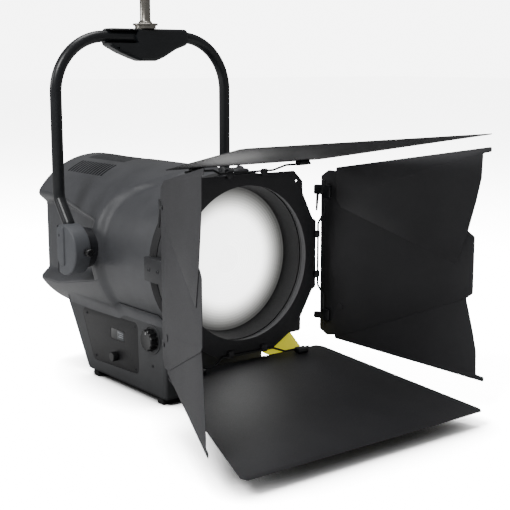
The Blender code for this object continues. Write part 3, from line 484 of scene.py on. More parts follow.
def stock(context):
    """Every finish, made once. The tones come from the panel's colours; the rest from each real finish."""
    if MATERIALS:
        return MATERIALS
    tones = context.scene.spotlight_colours
    # Fine-textured polyester powder coat on an aluminium casting: an even dull grey with a sanded feel.
    MATERIALS["casting"] = coated("graphite_powder_coat", tones.body_light, tones.body_dark, 0.4, 0.0011, 0.00022)
    # The same powder coat in a darker tone on the folded steel base.
    MATERIALS["base"] = coated("dark_graphite_powder_coat", "#323335", "#2c2d2f", 0.46, 0.0011, 0.0002)
    # Textured moulding of the yoke caps, slightly duller than the casting.
    MATERIALS["cap"] = coated("textured_nylon_moulding", "#505256", "#484a4e", 0.55, 0.0009, 0.0002)
    # Satin epoxy powder coat on steel tube: black with long soft highlights and faint orange peel.
    MATERIALS["satin"] = coated("satin_black_powder_coat", "#1b1d20", "#16181b", 0.33, 0.004, 0.00006, spread=0.03)
    # Heat-resistant matte paint on sheet steel: flat black that greys at a glancing angle.
    MATERIALS["leaf"] = coated("matte_black_sheet_paint", tones.leaf_light, tones.leaf_dark, 0.58, 0.0016, 0.00008,
                               patch=0.09)
    # Black ABS with spark-eroded texture: panel, knobs, fan and sockets.
    MATERIALS["plastic"] = coated("black_abs", "#131314", "#0f0f10", 0.32, 0.0008, 0.0001)
    MATERIALS["panel"] = coated("black_polyester_overlay", "#131315", "#111113", 0.5, 0.0008, 0.00005)
    # Black nitrile rubber: no shine at all.
    MATERIALS["rubber"] = coated("black_rubber", "#121213", "#0c0c0d", 0.85, 0.0012, 0.0001)
    # Blackened spring steel of screws and wires.
    MATERIALS["wire"] = coated("blackened_spring_steel", "#2a2b2d", "#1f2022", 0.35, 0.002, 0.00004, metallic=0.6)
    # Mass-coloured yellow nylon, with a faint emission of its own colour: painted light that brightens the shaded
    # cup.
    MATERIALS["yellow"] = coated("yellow_nylon", tones.cup, "#ece234", 0.5, 0.001, 0.0001)
    painted_cup_glow = MATERIALS["yellow"].node_tree.nodes["Principled BSDF"]
    painted_cup_glow.inputs["Emission Color"].default_value = linear(tones.cup)
    painted_cup_glow.inputs["Emission Strength"].default_value = 0.5
    low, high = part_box("spigot")
    middle = ((low.x + high.x) / 2.0, (low.y + high.y) / 2.0)
    MATERIALS["stainless"] = turned_steel("turned_stainless_steel", "#b4b0a8", "#8f8b84", middle, 0.27)
    MATERIALS["lens"] = lit_lens("stepped_borosilicate_glass", 0.119, tones.glow)
    MATERIALS["screen"] = lit_screen("liquid_crystal_display", "#a3a7ac", "#95999e", 0.55)
    MATERIALS["screen_dim"] = lit_screen("liquid_crystal_display_dim", "#505357", "#46494d", 0.4)
    # Mill-finish and anodised aluminium of the inner parts, green circuit board and white ceramic.
    MATERIALS["aluminium"] = coated("mill_finish_aluminium", "#c2c4c6", "#a9abad", 0.38, 0.003, 0.00005,
                                    metallic=1.0)
    MATERIALS["bright"] = coated("bright_anodised_aluminium", "#d8dadc", "#c9cbcd", 0.15, 0.003, 0.00002,
                                 metallic=1.0)
    MATERIALS["ground"] = coated("ground_steel", "#bcbcba", "#a6a6a4", 0.25, 0.002, 0.00002, metallic=1.0)
    MATERIALS["board"] = coated("green_circuit_board", "#1d5a34", "#174a2b", 0.4, 0.004, 0.00005)
    MATERIALS["ceramic"] = coated("white_ceramic", "#e6e6df", "#dadad2", 0.35, 0.002, 0.00002)
    # Satin black paint of the front ring, holder, bosses and grille: a little greyer than the tube.
    MATERIALS["satin_paint"] = coated("satin_black_paint", "#242528", "#1e1f22", 0.42, 0.003, 0.00006, spread=0.04)
    # Flat black baffle paint in front of the lens.
    MATERIALS["baffle"] = coated("flat_black_baffle_paint", "#1b1b1d", "#161618", 0.75, 0.002, 0.00006)
    # Smoked acrylic window over the screen.
    MATERIALS["gloss"] = coated("smoked_acrylic", "#0d0e10", "#0a0b0d", 0.08, 0.004, 0.00001, spread=0.02)
    # White paint of the thin streak on the focus knob's face: a painted highlight.
    MATERIALS["mark"] = coated("white_painted_highlight", "#c9c9c9", "#bfbfbf", 0.45, 0.002, 0.00002)
    # Black painted shadow on the sunk floors of the vent slots.
    MATERIALS["void"] = coated("painted_vent_shadow", "#070707", "#040404", 0.9, 0.001, 0.00005)
    return MATERIALS


# ------------------------------------------------------------- properties

class SpotlightSizes(bpy.types.PropertyGroup):
    """Sizes a user may change; the joints' places come from the mechanism."""

    sheet: bpy.props.FloatProperty(
        name="Leaf sheet", description="Thickness of the four main leaves", default=0.0012, min=0.0006, max=0.003,
        unit="LENGTH")
    flap_sheet: bpy.props.FloatProperty(
        name="Flap sheet", description="Thickness of the swivelling flaps", default=0.001, min=0.0005, max=0.003,
        unit="LENGTH")
    wire: bpy.props.FloatProperty(
        name="Hinge wire", description="Diameter of the bent hinge wires", default=0.0035, min=0.002, max=0.005,
        unit="LENGTH")
    slots: bpy.props.IntProperty(
        name="Vent slots", description="Number of slots in each shoulder vent", default=13, min=4, max=20)
    knurls: bpy.props.IntProperty(
        name="Knob ribs", description="Number of finger flutes round the focus knob", default=12, min=6, max=40)


class SpotlightColours(bpy.types.PropertyGroup):
    """Tones of the finishes, as sRGB hex values."""

    body_light: bpy.props.StringProperty(
        name="Body, light", description="Lighter tone of the powder coat", default="#444548")
    body_dark: bpy.props.StringProperty(
        name="Body, dark", description="Darker tone of the powder coat", default="#3d3e41")
    leaf_light: bpy.props.StringProperty(
        name="Leaf, light", description="Lighter tone of the leaf paint", default="#343437")
    leaf_dark: bpy.props.StringProperty(
        name="Leaf, dark", description="Darker tone of the leaf paint", default="#2e2e31")
    cup: bpy.props.StringProperty(name="Pole cup", description="Tone of the pole cup", default="#f0e834")
    glow: bpy.props.FloatProperty(
        name="Lens glow", description="Strength of the light in the lens", default=5.0, min=0.0, max=40.0)


# ---------------------------------------------------------------- housing

HOOD_R = 147.0
BARREL_R = 140.0
SEAM_Y = 213.0
REAR_Y = 478.0
TOP_SEAM = [(213.0, 20.0), (213.7, 29.0), (215.5, 36.0), (219.0, 43.0), (226.0, 49.5), (240.0, 57.0),
            (380.0, 82.0), (478.0, 84.0)]
LOW_SEAM = [(213.0, -18.0), (213.7, -27.0), (216.0, -34.5), (221.0, -41.0), (229.0, -46.0), (240.0, -50.0),
            (400.0, -82.0), (478.0, -84.0)]
BROW = [(-150.0, 209.0), (57.0, 209.0), (87.0, 203.0), (109.0, 177.0), (128.0, 128.0), (139.0, 98.0),
        (144.0, 84.0), (150.0, 80.0)]


def seam_height(seam, y):
    """Height of a recess seam at a station, straight between its points."""
    table = np.array(seam)
    return np.interp(y, table[:, 0], table[:, 1])


def housing_radius(angle, y):
    """Radius of the body: the barrel's, plus 7 mm eased in 26 mm behind the brow's edge, less the rear round."""
    height = HOOD_R * np.sin(angle)
    table = np.array(BROW)
    edge = np.interp(height, table[:, 0], table[:, 1])
    radius = BARREL_R + (HOOD_R - BARREL_R) * smooth((y - edge + 4.0) / 26.0)
    tail = np.clip((y - (REAR_Y - 6.0)) / 6.0, 0.0, 1.0)
    return radius - 6.0 * (1.0 - np.sqrt(1.0 - tail * tail))


def slot_lines(start, end, count, share):
    """Stations of the edges of evenly spaced slots, with a near-upright wall at each."""
    pitch = (end - start) / count
    begin = start + pitch * np.arange(count)
    return np.stack([begin, begin + 0.35, begin + pitch * share - 0.35, begin + pitch * share], 1)


def housing_shape(slots):
    """The body wall on a grid of stations and angles, open between the side seams, with its vents sunk in."""
    shoulder = slot_lines(307.0, 433.0, slots, 0.55)
    top = slot_lines(308.0, 436.0, 2 * slots, 0.5)
    stations = np.concatenate([
        np.linspace(67.4, 209.0, 34), np.array(TOP_SEAM)[:6, 0], np.array(LOW_SEAM)[:6, 0],
        np.linspace(245.0, 300.0, 8), np.array([305.4, 305.8]), shoulder.ravel(), top.ravel(),
        np.linspace(440.0, 470.0, 5), REAR_Y - 6.0 * (1.0 - np.sin(np.linspace(0.0, math.pi / 2.0, 6))),
    ])
    y = np.unique(np.round(stations, 3))
    high = np.arcsin(seam_height(TOP_SEAM, y) / HOOD_R)
    low = np.arcsin(seam_height(LOW_SEAM, y) / HOOD_R)
    crown = math.radians(50.0)
    vent_cos = np.array([84.0, 83.6, 51.4, 51.0, 38.0, 37.6])
    vents = np.arccos(vent_cos / HOOD_R)
    fixed = np.concatenate([np.linspace(crown, vents[0], 4)[:-1], vents[:2],
                            np.linspace(vents[1], vents[2], 6)[1:-1], vents[2:4],
                            np.linspace(vents[3], vents[4], 3)[1:-1], vents[4:6],
                            np.linspace(vents[5], math.pi / 2.0, 7)[1:]])
    fixed = np.concatenate([fixed, math.pi - fixed[::-1][1:]])
    t = np.linspace(0.0, 1.0, 11)
    column = np.ones((len(y), 1))
    front_right = low[:, None] + (high - low)[:, None] * np.linspace(0.0, 1.0, 15)[None, :-1]
    right = high[:, None] + (crown - high)[:, None] * t[None, :-1]
    left = (math.pi - crown) + (crown - high)[:, None] * t[None, 1:]
    front_left = (math.pi - high)[:, None] + (high - low)[:, None] * np.linspace(0.0, 1.0, 15)[None, 1:]
    under = (math.pi - low)[:, None] + (math.pi + 2.0 * low)[:, None] * np.linspace(0.0, 1.0, 53)[None, 1:-1]
    angle = np.concatenate([front_right, right, column * fixed[None], left, front_left, under], 1)
    station = y[:, None] * np.ones((1, angle.shape[1]))
    radius = housing_radius(angle, station)
    x = HOOD_R * np.cos(angle)
    upper = np.sin(angle) > 0.5
    in_shoulder = (np.abs(x) > 51.2) & (np.abs(x) < 83.8) & upper
    in_top = (np.abs(x) < 37.8) & upper
    slot_row = np.zeros(len(y), bool)
    for a, _, _, d in np.round(shoulder, 3):
        slot_row |= (y > a + 0.01) & (y < d - 0.01)
    fine_row = np.zeros(len(y), bool)
    for a, _, _, d in np.round(top, 3):
        fine_row |= (y > a + 0.01) & (y < d - 0.01)
    sunk = 5.0 * np.clip((436.0 - y) / (436.0 - 305.8), 0.0, 1.0) * (y > 305.6)
    depth = np.where(in_shoulder, 5.0 * slot_row[:, None], 0.0)
    depth += np.where(in_top, sunk[:, None] + 2.2 * fine_row[:, None], 0.0)
    inner_radius = radius - np.where(station < 300.0, 3.6, 8.0)
    radius = radius - depth
    outer = np.stack([radius * np.cos(angle), station, radius * np.sin(angle)], -1)
    inner = np.stack([inner_radius * np.cos(angle), station, inner_radius * np.sin(angle)], -1)
    rows, columns = angle.shape
    i = np.arange(rows - 1)[:, None] * columns
    j = np.arange(columns)[None]
    m = (j + 1) % columns
    quads = np.stack(np.broadcast_arrays(i + j, i + m, i + columns + m, i + columns + j), -1)
    behind = (y[:-1] >= SEAM_Y - 0.01)[:, None]
    side = np.zeros(columns, bool)
    side[:14] = True
    begin = 14 + 10 + len(fixed) + 10
    side[begin - 1:begin + 14 - 1] = True
    keep = ~(behind & side[None])
    # Faces at the bottom of each slot take the black painted shadow.
    deep = np.where(in_shoulder, slot_row[:, None], in_top & fine_row[:, None])
    dark = deep[:-1] & deep[1:]
    dark = dark & np.roll(dark, -1, 1)
    faces = quads[keep]
    black = dark[keep]
    return outer.reshape(-1, 3), inner.reshape(-1, 3), faces, black


def insert_shape(side):
    """A side recess: a bowl that leaves the seam along the body's round and eases to a flat floor 100 mm out."""
    y = SEAM_Y + 0.5 + (REAR_Y - 1.5 - SEAM_Y - 0.5) * np.linspace(0.0, 1.0, 90) ** 1.6
    v = np.linspace(0.0, 1.0, 57)
    top = seam_height(TOP_SEAM, y) - 0.5
    low = seam_height(LOW_SEAM, y) + 0.5
    z = low[:, None] + (top - low)[:, None] * v[None]
    station = y[:, None] * np.ones_like(z)
    rim = np.sqrt(np.maximum(housing_radius(np.arcsin(z / HOOD_R), station) ** 2 - z * z, 1.0)) - 0.3
    across = np.minimum((top[:, None] - z) / 26.0, (z - low[:, None]) / 22.0)
    reach = np.minimum(across, (station - SEAM_Y - 26.0) / 50.0)
    floor = 101.0 + 3.0 * smooth((station - 430.0) / 50.0)
    x = floor + (rim - floor) * (1.0 - smooth(reach))
    outer = np.stack([side * x, station, z], -1)
    inner = np.stack([side * (x - 2.4), station, z], -1)
    rows, columns = z.shape
    i = np.arange(rows - 1)[:, None] * columns
    j = np.arange(columns - 1)[None]
    quads = np.stack(np.broadcast_arrays(i + j, i + j + 1, i + columns + j + 1, i + columns + j), -1).reshape(-1, 4)
    return sheeted(outer.reshape(-1, 3), inner.reshape(-1, 3), quads)


class SPOT_OT_housing(bpy.types.Operator):
    """Body wall with its vents and the two recessed side inserts"""

    bl_idname = "spotlight.housing"
    bl_label = "Housing"

    def execute(self, context):
        use = stock(context)
        sizes = context.scene.spotlight_sizes
        outer, inner, faces, black = housing_shape(sizes.slots)
        points, closed = sheeted(outer, inner, faces)
        mesh = bpy.data.meshes.new("housing")
        mesh.from_pydata((points * MM + ORIGIN).tolist(), [], closed)
        index = np.zeros(len(closed), np.int32)
        index[:len(black)] = black
        mesh.materials.append(use["casting"])
        # Second slot: black painted shadow for the floors of the vent slots.
        mesh.materials.append(use["void"])
        mesh.polygons.foreach_set("material_index", index)
        bm = bmesh.new()
        bm.from_mesh(mesh)
        loose = [v for v in bm.verts if not v.link_faces]
        bmesh.ops.delete(bm, geom=loose, context="VERTS")
        bmesh.ops.remove_doubles(bm, verts=bm.verts, dist=0.000002)
        bmesh.ops.recalc_face_normals(bm, faces=bm.faces)
        bm.to_mesh(mesh)
        bm.free()
        shade(mesh, 28.0)
        obj = bpy.data.objects.new("housing", mesh)
        bpy.context.scene.collection.objects.link(obj)
        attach(obj, "head")
        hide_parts("hood_shell", "barrel_shell")
        for name, side in (("side_insert_left", -1.0), ("side_insert_right", 1.0)):
            piece(name, insert_shape(side), use["casting"], "head")
        return {"FINISHED"}


# ------------------------------------------------------------------- base

BASE_HALF = 102.0
LEAN = math.atan2(73.0, 117.0)
PANEL = [(357.0, -120.0), (167.0, -116.0), (165.0, -204.0), (315.0, -209.0)]
SOCKETS = ((-62.0, True), (-22.0, True), (24.0, False), (60.0, False))


def rear_turn(x):
    """Frame on the leaning rear wall: s along X, t up the wall, n out of it."""
    turn = np.eye(4)
    turn[:3, 1] = (0.0, math.sin(LEAN), math.cos(LEAN))
    turn[:3, 2] = (0.0, math.cos(LEAN), -math.sin(LEAN))
    turn[:3, 3] = np.array([x, 339.0, -232.0]) + turn[:3, 1] * 48.0
    return turn


def moved(shape, turn):
    """The shape carried by a 4 x 4 frame."""
    points, faces = shape
    return points @ turn[:3, :3].T + turn[:3, 3], faces


def base_outline(grow):
    """Side view of the lower box, drawn in by a wall thickness."""
    return [(83.0 + grow, -232.0 - 9.0 * (grow > 0.0)), (339.0 - 1.2 * grow, -232.0 - 9.0 * (grow > 0.0)),
            (412.0 - 1.2 * grow, -115.0), (412.0 - 1.2 * grow, -97.0), (83.0 + grow, -97.0)]


def skirt_shape(side):
    """Concave fillet of 34 mm between body and base, tangent to the circle and the side at each station."""
    y = np.concatenate([np.linspace(84.0, 209.0, 12), np.linspace(212.0, 240.0, 10), np.linspace(252.0, 396.0, 10)])
    radius = housing_radius(np.full(len(y), -math.pi / 4.0), y)
    meet = -np.sqrt(radius ** 2 - BASE_HALF ** 2)
    bow = math.pi / 2.0 - np.arctan2(-meet, BASE_HALF)
    reach = 34.0 * np.tan(bow / 2.0)
    v = np.linspace(0.0, 1.0, 13)[None]
    turn = bow[:, None] * v
    x = BASE_HALF + 34.0 * (1.0 - np.cos(turn)) - 0.05
    z = (meet - reach)[:, None] + 34.0 * np.sin(turn)
    x = np.concatenate([x, x[:, -1:] - 9.0, np.full((len(y), 1), BASE_HALF - 2.0)], 1)
    z = np.concatenate([z, z[:, -2:-1], (meet - reach)[:, None]], 1)
    rings = np.stack([side * x, y[:, None] * np.ones_like(x), z], -1)
    return stack(rings)


class SPOT_OT_base(bpy.types.Operator):
    """Lower box with its socket holes, and the two rubber feet"""

    bl_idname = "spotlight.base"
    bl_label = "Base"

    def execute(self, context):
        use = stock(context)
        outline = fillet(base_outline(0.0), (6.0, 6.0, 6.0, 3.0, 3.0), 6)
        shell = slab(outline, "x", -BASE_HALF, BASE_HALF, 6.5, 7)
        base = piece("base", shell, use["base"], "head", ["base_shell"])
        inner = slab(base_outline(3.5), "x", -BASE_HALF + 3.5, BASE_HALF - 3.5)
        cylinder = plug(138.4, 40.0, 520.0, segments=160)
        tools = [inner, cylinder]
        panel = fillet(PANEL, 9.5, 6)
        tools.append(slab(inset(anticlockwise(panel), -0.5), "x", -BASE_HALF - 5.0, -BASE_HALF + 1.6))
        tools.append(plug(3.5, -120.0, -90.0, "x", MENU_AT))
        tools.append(plug(5.1, -120.0, -90.0, "x", KNOB_AT))
        tools.append(block((-120.0, 208.8, -158.2), (-90.0, 255.2, -138.8), 0.3, "x"))
        for x, square in SOCKETS:
            hole = block((-14.3, -12.3, -20.0), (14.3, 12.3, 6.0), 1.2)
            if not square:
                hole = plug(10.3, -20.0, 6.0, "z")
            tools.append(moved(hole, rear_turn(x)))
        cut_out(base, *tools)
        for name, side in (("left", -1.0), ("right", 1.0)):
            piece("skirt_" + name, skirt_shape(side), use["casting"], "head")
        for name, y in (("front", 108.0), ("rear", 320.0)):
            foot = block((-97.0, y - 9.0, -243.0), (97.0, y + 9.0, -232.0), 1.8, "x")
            piece("foot_strip_" + name, foot, use["rubber"], "head", ["foot_" + name])
        return {"FINISHED"}


class SPOT_OT_controls(bpy.types.Operator):
    """Side panel with its screen, menu knob and focus knob"""

    bl_idname = "spotlight.controls"
    bl_label = "Controls"

    def execute(self, context):
        use = stock(context)
        sizes = context.scene.spotlight_sizes
        outline = fillet(PANEL, 9.5, 6)
        panel = piece("panel", slab(outline, "x", -102.1, -100.5, 0.5), use["panel"], "head",
                      ["control_panel"])
        stem_way = plug(3.5, -110.0, -90.0, "x", MENU_AT)
        cut_out(panel, stem_way, block((-110.0, 208.8, -158.2), (-90.0, 255.2, -138.8), 0.3, "x"))
        piece("screen_window", block((-101.9, 209.0, -158.0), (-99.0, 255.0, -139.0), 0.5, "x"), use["gloss"],
              "head", ["display"])
        piece("screen_face", block((-102.0, 213.0, -156.0), (-101.8, 234.0, -141.0), 0.05, "x"),
              use["screen_dim"], "head")
        bars = [block((-102.1, 214.5, z), (-101.95, 214.5 + w, z + 1.5), 0.03, "x")
                for z, w in ((-145.0, 17.0), (-148.5, 12.0), (-152.0, 15.0))]
        piece("screen_rows", join(*bars), use["screen"], "head")
        frame_ring = [(20.6, -101.6), (25.0, -101.6), (24.4, -103.4), (21.2, -103.4)]
        piece("focus_ring", turned(soften(frame_ring, 0.6, 4, True), "x", KNOB_AT, 96, True), use["base"],
              "head")
        angle = np.linspace(0.0, 2.0 * math.pi, 20 * sizes.knurls, endpoint=False)
        grip = np.abs(np.cos(angle * sizes.knurls / 2.0)) ** 2
        profile = [(5.0, -102.4, 0.0), (17.6, -102.4, 0.0), (18.6, -103.0, 1.0), (18.8, -104.5, 1.0),
                   (18.2, -114.4, 1.0), (17.0, -115.6, 0.7), (15.0, -115.9, 0.0), (12.6, -115.2, 0.0),
                   (0.4, -115.0, 0.0)]
        rings = []
        for radius, x, share in profile:
            reach = radius - 1.7 * share * grip
            rings.append(on_axis("x", KNOB_AT[0] + reach * np.cos(angle), KNOB_AT[1] + reach * np.sin(angle),
                                 np.full(len(angle), x)))
        knob = stack(np.stack(rings))
        stem = plug(4.9, -95.0, -103.0, "x", KNOB_AT, 48)
        piece("focus_handle", join(knob, stem), use["plastic"], "knob", ["focus_knob"], angle=26.0)
        # A white streak near the top of the knob's face: a painted highlight where light catches the knob.
        knob_highlight = block((-115.7, 120.2, -124.6), (-115.0, 121.8, -120.2), 0.25, "x")
        piece("focus_knob_streak_highlight", knob_highlight, use["mark"], "knob")
        rib = np.linspace(0.0, 2.0 * math.pi, 240, endpoint=False)
        wave = 0.22 * (1.0 + np.cos(30.0 * rib))
        rings = []
        for radius, x, share in ((3.2, -103.4, 0.0), (8.0, -103.4, 0.0), (8.5, -104.2, 1.0), (8.2, -112.6, 1.0),
                                 (7.4, -113.6, 0.0), (0.3, -113.8, 0.0)):
            reach = radius - share * wave
            rings.append(on_axis("x", MENU_AT[0] + reach * np.cos(rib), MENU_AT[1] + reach * np.sin(rib),
                                 np.full(len(rib), x)))
        piece("menu_dial", stack(np.stack(rings)), use["plastic"], "dial", ["encoder_knob"])
        heads = []
        for y, z in ((121.0, -180.0), (338.0, -128.0), (176.0, -124.0), (174.0, -197.0), (308.0, -201.0)):
            low = -101.9 if y > 130.0 else -101.8
            heads.append(screw_head("x", (y, z), 2.6, low, low - 1.0))
        piece("panel_screws", join(*heads), use["wire"], "head")
        return {"FINISHED"}


# ------------------------------------------------------------------ front

def claw_shape(angle):
    """A hooked block that holds the flange, turned about the lens axis by an angle."""
    hook = [(137.0, 13.2), (137.0, 48.0), (140.8, 48.0), (140.8, 63.0), (153.0, 63.0), (153.0, 8.3), (141.0, 8.3),
            (141.0, 10.1), (146.9, 10.1), (146.9, 13.2)]
    points, faces = slab(fillet(hook, (0.3, 0.3, 0.3, 0.8, 2.5, 2.5, 0.5, 0.3, 0.3, 0.3), 5), "z", -19.0, 19.0, 1.2)
    heads = [screw_head("x", (y, 0.0), 3.4, 152.6, 154.0) for y in (24.0, 48.0)]
    points, faces = join((points, faces), *heads)
    c, s = math.cos(angle), math.sin(angle)
    return points @ np.array([[c, 0.0, s], [0.0, 1.0, 0.0], [-s, 0.0, c]]), faces


class SPOT_OT_front(bpy.types.Operator):
    """Bezel, lens, and the holder with its claws and latch"""

    bl_idname = "spotlight.front"
    bl_label = "Front"

    def execute(self, context):
        use = stock(context)
        bezel = [(119.0, 46.0), (127.0, 17.0), (128.5, 17.0), (128.5, 44.0), (133.0, 48.6), (139.6, 48.6),
                 (140.0, 49.2), (140.0, 66.8), (139.4, 67.2), (133.0, 67.2), (133.0, 49.7), (119.0, 49.7)]
        piece("bezel", turned(bezel, segments=192, ring=True), use["baffle"], "head",
              ["front_bezel"])
        steps = [(0.01, 58.0), (132.3, 58.0), (132.3, 50.2), (118.6, 50.2)]
        edges = np.linspace(117.0, 21.0, 22)
        for far, near in zip(edges[:-1], edges[1:]):
            steps += [(far, 51.6), (near + 0.3, 50.0)]
        steps += [(21.0, 50.3), (12.0, 49.4), (0.01, 49.0)]
        piece("stepped_lens", turned(steps, segments=192), use["lens"], "head", ["fresnel_lens"])
        ring = [(128.0, 13.2), (138.4, 13.2), (139.0, 13.9), (139.0, 47.4), (138.4, 48.0), (134.0, 48.0),
                (134.0, 15.2), (128.0, 15.2)]
        claws = [claw_shape(a) for a in (0.0, -math.pi / 2.0, math.pi)]
        piece("holder", join(turned(ring, segments=192, ring=True), *claws), use["satin_paint"], "head",
              ["accessory_holder"])
        ears = []
        for x in (-20.0, 14.6):
            ear = fillet([(28.0, 137.5), (46.0, 137.5), (46.0, 149.0), (42.0, 153.0), (34.0, 153.0), (28.0, 149.0)],
                         1.5, 4)
            ears.append(slab(ear, "x", x, x + 5.4, 0.6))
        piece("latch_ears", join(*ears), use["satin_paint"], "head")
        hook = [(8.3, 141.0), (10.1, 141.0), (10.1, 146.6), (26.0, 146.6), (34.0, 144.6), (41.0, 144.6),
                (41.4, 150.6), (12.0, 150.6), (8.3, 148.0)]
        body = slab(fillet(hook, (0.4, 0.3, 0.5, 2.0, 2.0, 1.0, 1.0, 1.5, 1.5), 5), "x", -14.2, 14.2, 0.6)
        pin = plug(2.0, -20.6, 20.6, "x", (38.0, 147.6))
        piece("latch", join(body, pin), use["satin_paint"], "latch", ["holder_latch"])
        return {"FINISHED"}


# --------------------------------------------------------------- barndoor

SIDES = (("right", 25.5), ("left", 22.0), ("top", 10.3), ("bottom", 10.8))
FLAP = [(27.0, 146.0), (286.0, 189.0), (286.0, 181.0), (273.0, 178.0), (272.0, 140.0), (265.0, 104.0),
        (252.0, 50.0), (235.0, 0.0), (36.0, 80.0), (27.0, 94.0)]


def leaf_turn(side, opening):
    """Frame of a leaf: s out along it, t along its hinge, n away from the beam."""
    angle = math.radians(opening)
    c, s = math.cos(angle), math.sin(angle)
    turn = np.eye(4)
    if side in ("left", "right"):
        sign = 1.0 if side == "right" else -1.0
        turn[:3, 0] = (sign * s, -c, 0.0)
        turn[:3, 1] = (0.0, 0.0, 1.0)
        turn[:3, 2] = (sign * c, s, 0.0)
        turn[:3, 3] = (sign * 149.0, -5.0, 0.0)
    else:
        sign = 1.0 if side == "top" else -1.0
        turn[:3, 0] = (0.0, -c, sign * s)
        turn[:3, 1] = (1.0, 0.0, 0.0)
        turn[:3, 2] = (0.0, s, sign * c)
        turn[:3, 3] = (0.0, -5.0, sign * 147.0)
    return turn


class SPOT_OT_doors(bpy.types.Operator):
    """Turning plate of the barndoor, with its round opening, flange and hinge clips"""

    bl_idname = "spotlight.doors"
    bl_label = "Door frame"

    def execute(self, context):
        use = stock(context)
        half = [(99.0, 143.0), (117.0, 125.0), (118.0, 105.0), (140.0, 61.0), (147.5, 57.0), (147.5, -57.0),
                (140.0, -61.0), (115.0, -104.0), (115.0, -128.0), (90.0, -128.0), (57.0, -148.0)]
        outline = half + [(-x, z) for x, z in reversed(half)]
        plate = slab(fillet(outline, 4.5, 6), "y", -1.5, 0.5, 0.35)
        door = piece("door_plate", plate, use["leaf"], "doors", ["door_frame"])
        cut_out(door, plug(125.0, -20.0, 5.0, segments=192),
                plug(2.2, -20.0, 5.0, "y", (104.0, 126.0)))
        tube = [(128.0, -0.4), (131.0, -0.4), (131.0, 9.8), (131.6, 10.4), (145.6, 10.4), (146.0, 10.8),
                (146.0, 12.3), (145.6, 12.7), (128.4, 12.7), (128.0, 12.3)]
        clips = []
        for middle in (-34.0, 34.0):
            for sign in (-1.0, 1.0):
                for upright, near, far in ((False, sign * 142.0, sign * 152.6),
                                           (True, sign * 138.0, sign * 150.6)):
                    low, high = min(near, far), max(near, far)
                    if upright:
                        clips.append(block((middle - 6.0, -8.2, low), (middle + 6.0, -1.0, high), 2.6, "x"))
                    else:
                        clips.append(block((low, -8.2, middle - 6.0), (high, -1.0, middle + 6.0), 2.6, "z"))
        piece("door_fittings", join(turned(tube, segments=192, ring=True), *clips), use["leaf"], "doors")
        return {"FINISHED"}


class SPOT_OT_leaves(bpy.types.Operator):
    """The four main leaves with their hinge wires and clamps, and the four swivelling flaps"""

    bl_idname = "spotlight.leaves"
    bl_label = "Leaves"

    def execute(self, context):
        use = stock(context)
        sizes = context.scene.spotlight_sizes
        sheet = sizes.sheet / MM
        thin = sizes.flap_sheet / MM
        wire_r = sizes.wire / MM / 2.0
        inner_n = 12.0 - sheet / 2.0
        outer_n = 12.0 + sheet / 2.0
        for side, opening in SIDES:
            turn = leaf_turn(side, opening)
            lateral = side in ("left", "right")
            if lateral:
                upper = [(0.0, 131.0), (13.0, 141.0), (40.0, 139.0), (254.0, 54.0), (264.0, 46.0)]
            else:
                upper = [(0.0, 150.0), (8.0, 158.0), (296.0, 235.0), (304.0, 229.0)]
            outline = fillet(upper + [(s, -t) for s, t in reversed(upper)], 4.0, 6)
            leaf = piece("main_leaf_" + side, slab(outline, "z", inner_n, outer_n, 0.3), use["leaf"],
                         "leaf_" + side, ["leaf_" + side], turn)
            if lateral:
                holes = [plug(3.06, 0.0, 30.0, "z", (37.0, t))
                         for t in (-89.0, 89.0)]
                cut_out(leaf, *[moved(hole, turn) for hole in holes])
            path = bend([(9.0, -124.0, 6.0), (9.0, -72.0, 6.0), (0.0, -52.0, 0.0), (0.0, 52.0, 0.0),
                         (9.0, 72.0, 6.0), (9.0, 124.0, 6.0)], 9.0, 10)
            parts = [bar(path, wire_r, 24, (0.3, 0.0, 1.0))]
            for sign in (-1.0, 1.0):
                parts.append(block((5.0, min(sign * 94.0, sign * 116.0), 3.6),
                                   (20.0, max(sign * 94.0, sign * 116.0), inner_n), 2.4))
                parts.append(turned([(0.01, outer_n), (3.6, outer_n), (3.6, outer_n + 1.4), (3.0, outer_n + 1.9),
                                     (0.01, outer_n + 1.9)], "z", (13.0, sign * 105.0), 32))
            if lateral:
                parts.append(block((-11.0, 100.0, 4.0), (6.0, 116.0, 14.0), 2.0))
                parts.append(block((-9.0, -112.0, 4.0), (6.0, -101.0, 12.0), 2.0))
                lever = np.stack([np.linspace(-6.0, -9.0, 9), np.linspace(101.0, 72.0, 9),
                                  np.linspace(11.0, 14.0, 9)], -1)
                parts.append(bar(lever, np.linspace(2.6, 1.7, 9), 20, (1.0, 0.0, 0.3)))
            piece("hinge_wire_" + side, join(*parts), use["satin"], "leaf_" + side,
                  ["wire_" + side], turn)
            if lateral:
                self.flaps(use, side, turn, inner_n, outer_n, thin)
        return {"FINISHED"}

    def flaps(self, use, side, turn, inner_n, outer_n, thin):
        """Two swivelling flaps: a cut sheet on a flanged pin, one in front of the leaf and one behind."""
        for name, up in (("upper", 1.0), ("lower", -1.0)):
            ahead = (up > 0.0) == (side == "left")
            low = outer_n + 0.3 if ahead else inner_n - 0.3 - thin
            outline = fillet([(s, up * t) for s, t in FLAP], 2.5, 5)
            flap = slab(outline, "z", low, low + thin, 0.25)
            pin_low = inner_n - 1.3 if ahead else low + 0.4
            pin_high = low + 0.5 if ahead else outer_n + 1.3
            head = pin_low - 0.4 if ahead else outer_n + 0.3
            spot = (37.0, up * 89.0)
            pin = plug(3.0, pin_low, pin_high, "z", spot)
            cap = turned([(0.01, head), (5.2, head), (5.6, head + 0.4), (5.6, head + 1.0), (0.01, head + 1.4)], "z",
                         spot, 32)
            piece("swivel_flap_%s_%s" % (side, name), join(flap, pin, cap), use["leaf"],
                  "flap_%s_%s" % (side, name), ["flap_%s_%s" % (side, name)], turn)


# ------------------------------------------------------------------- yoke

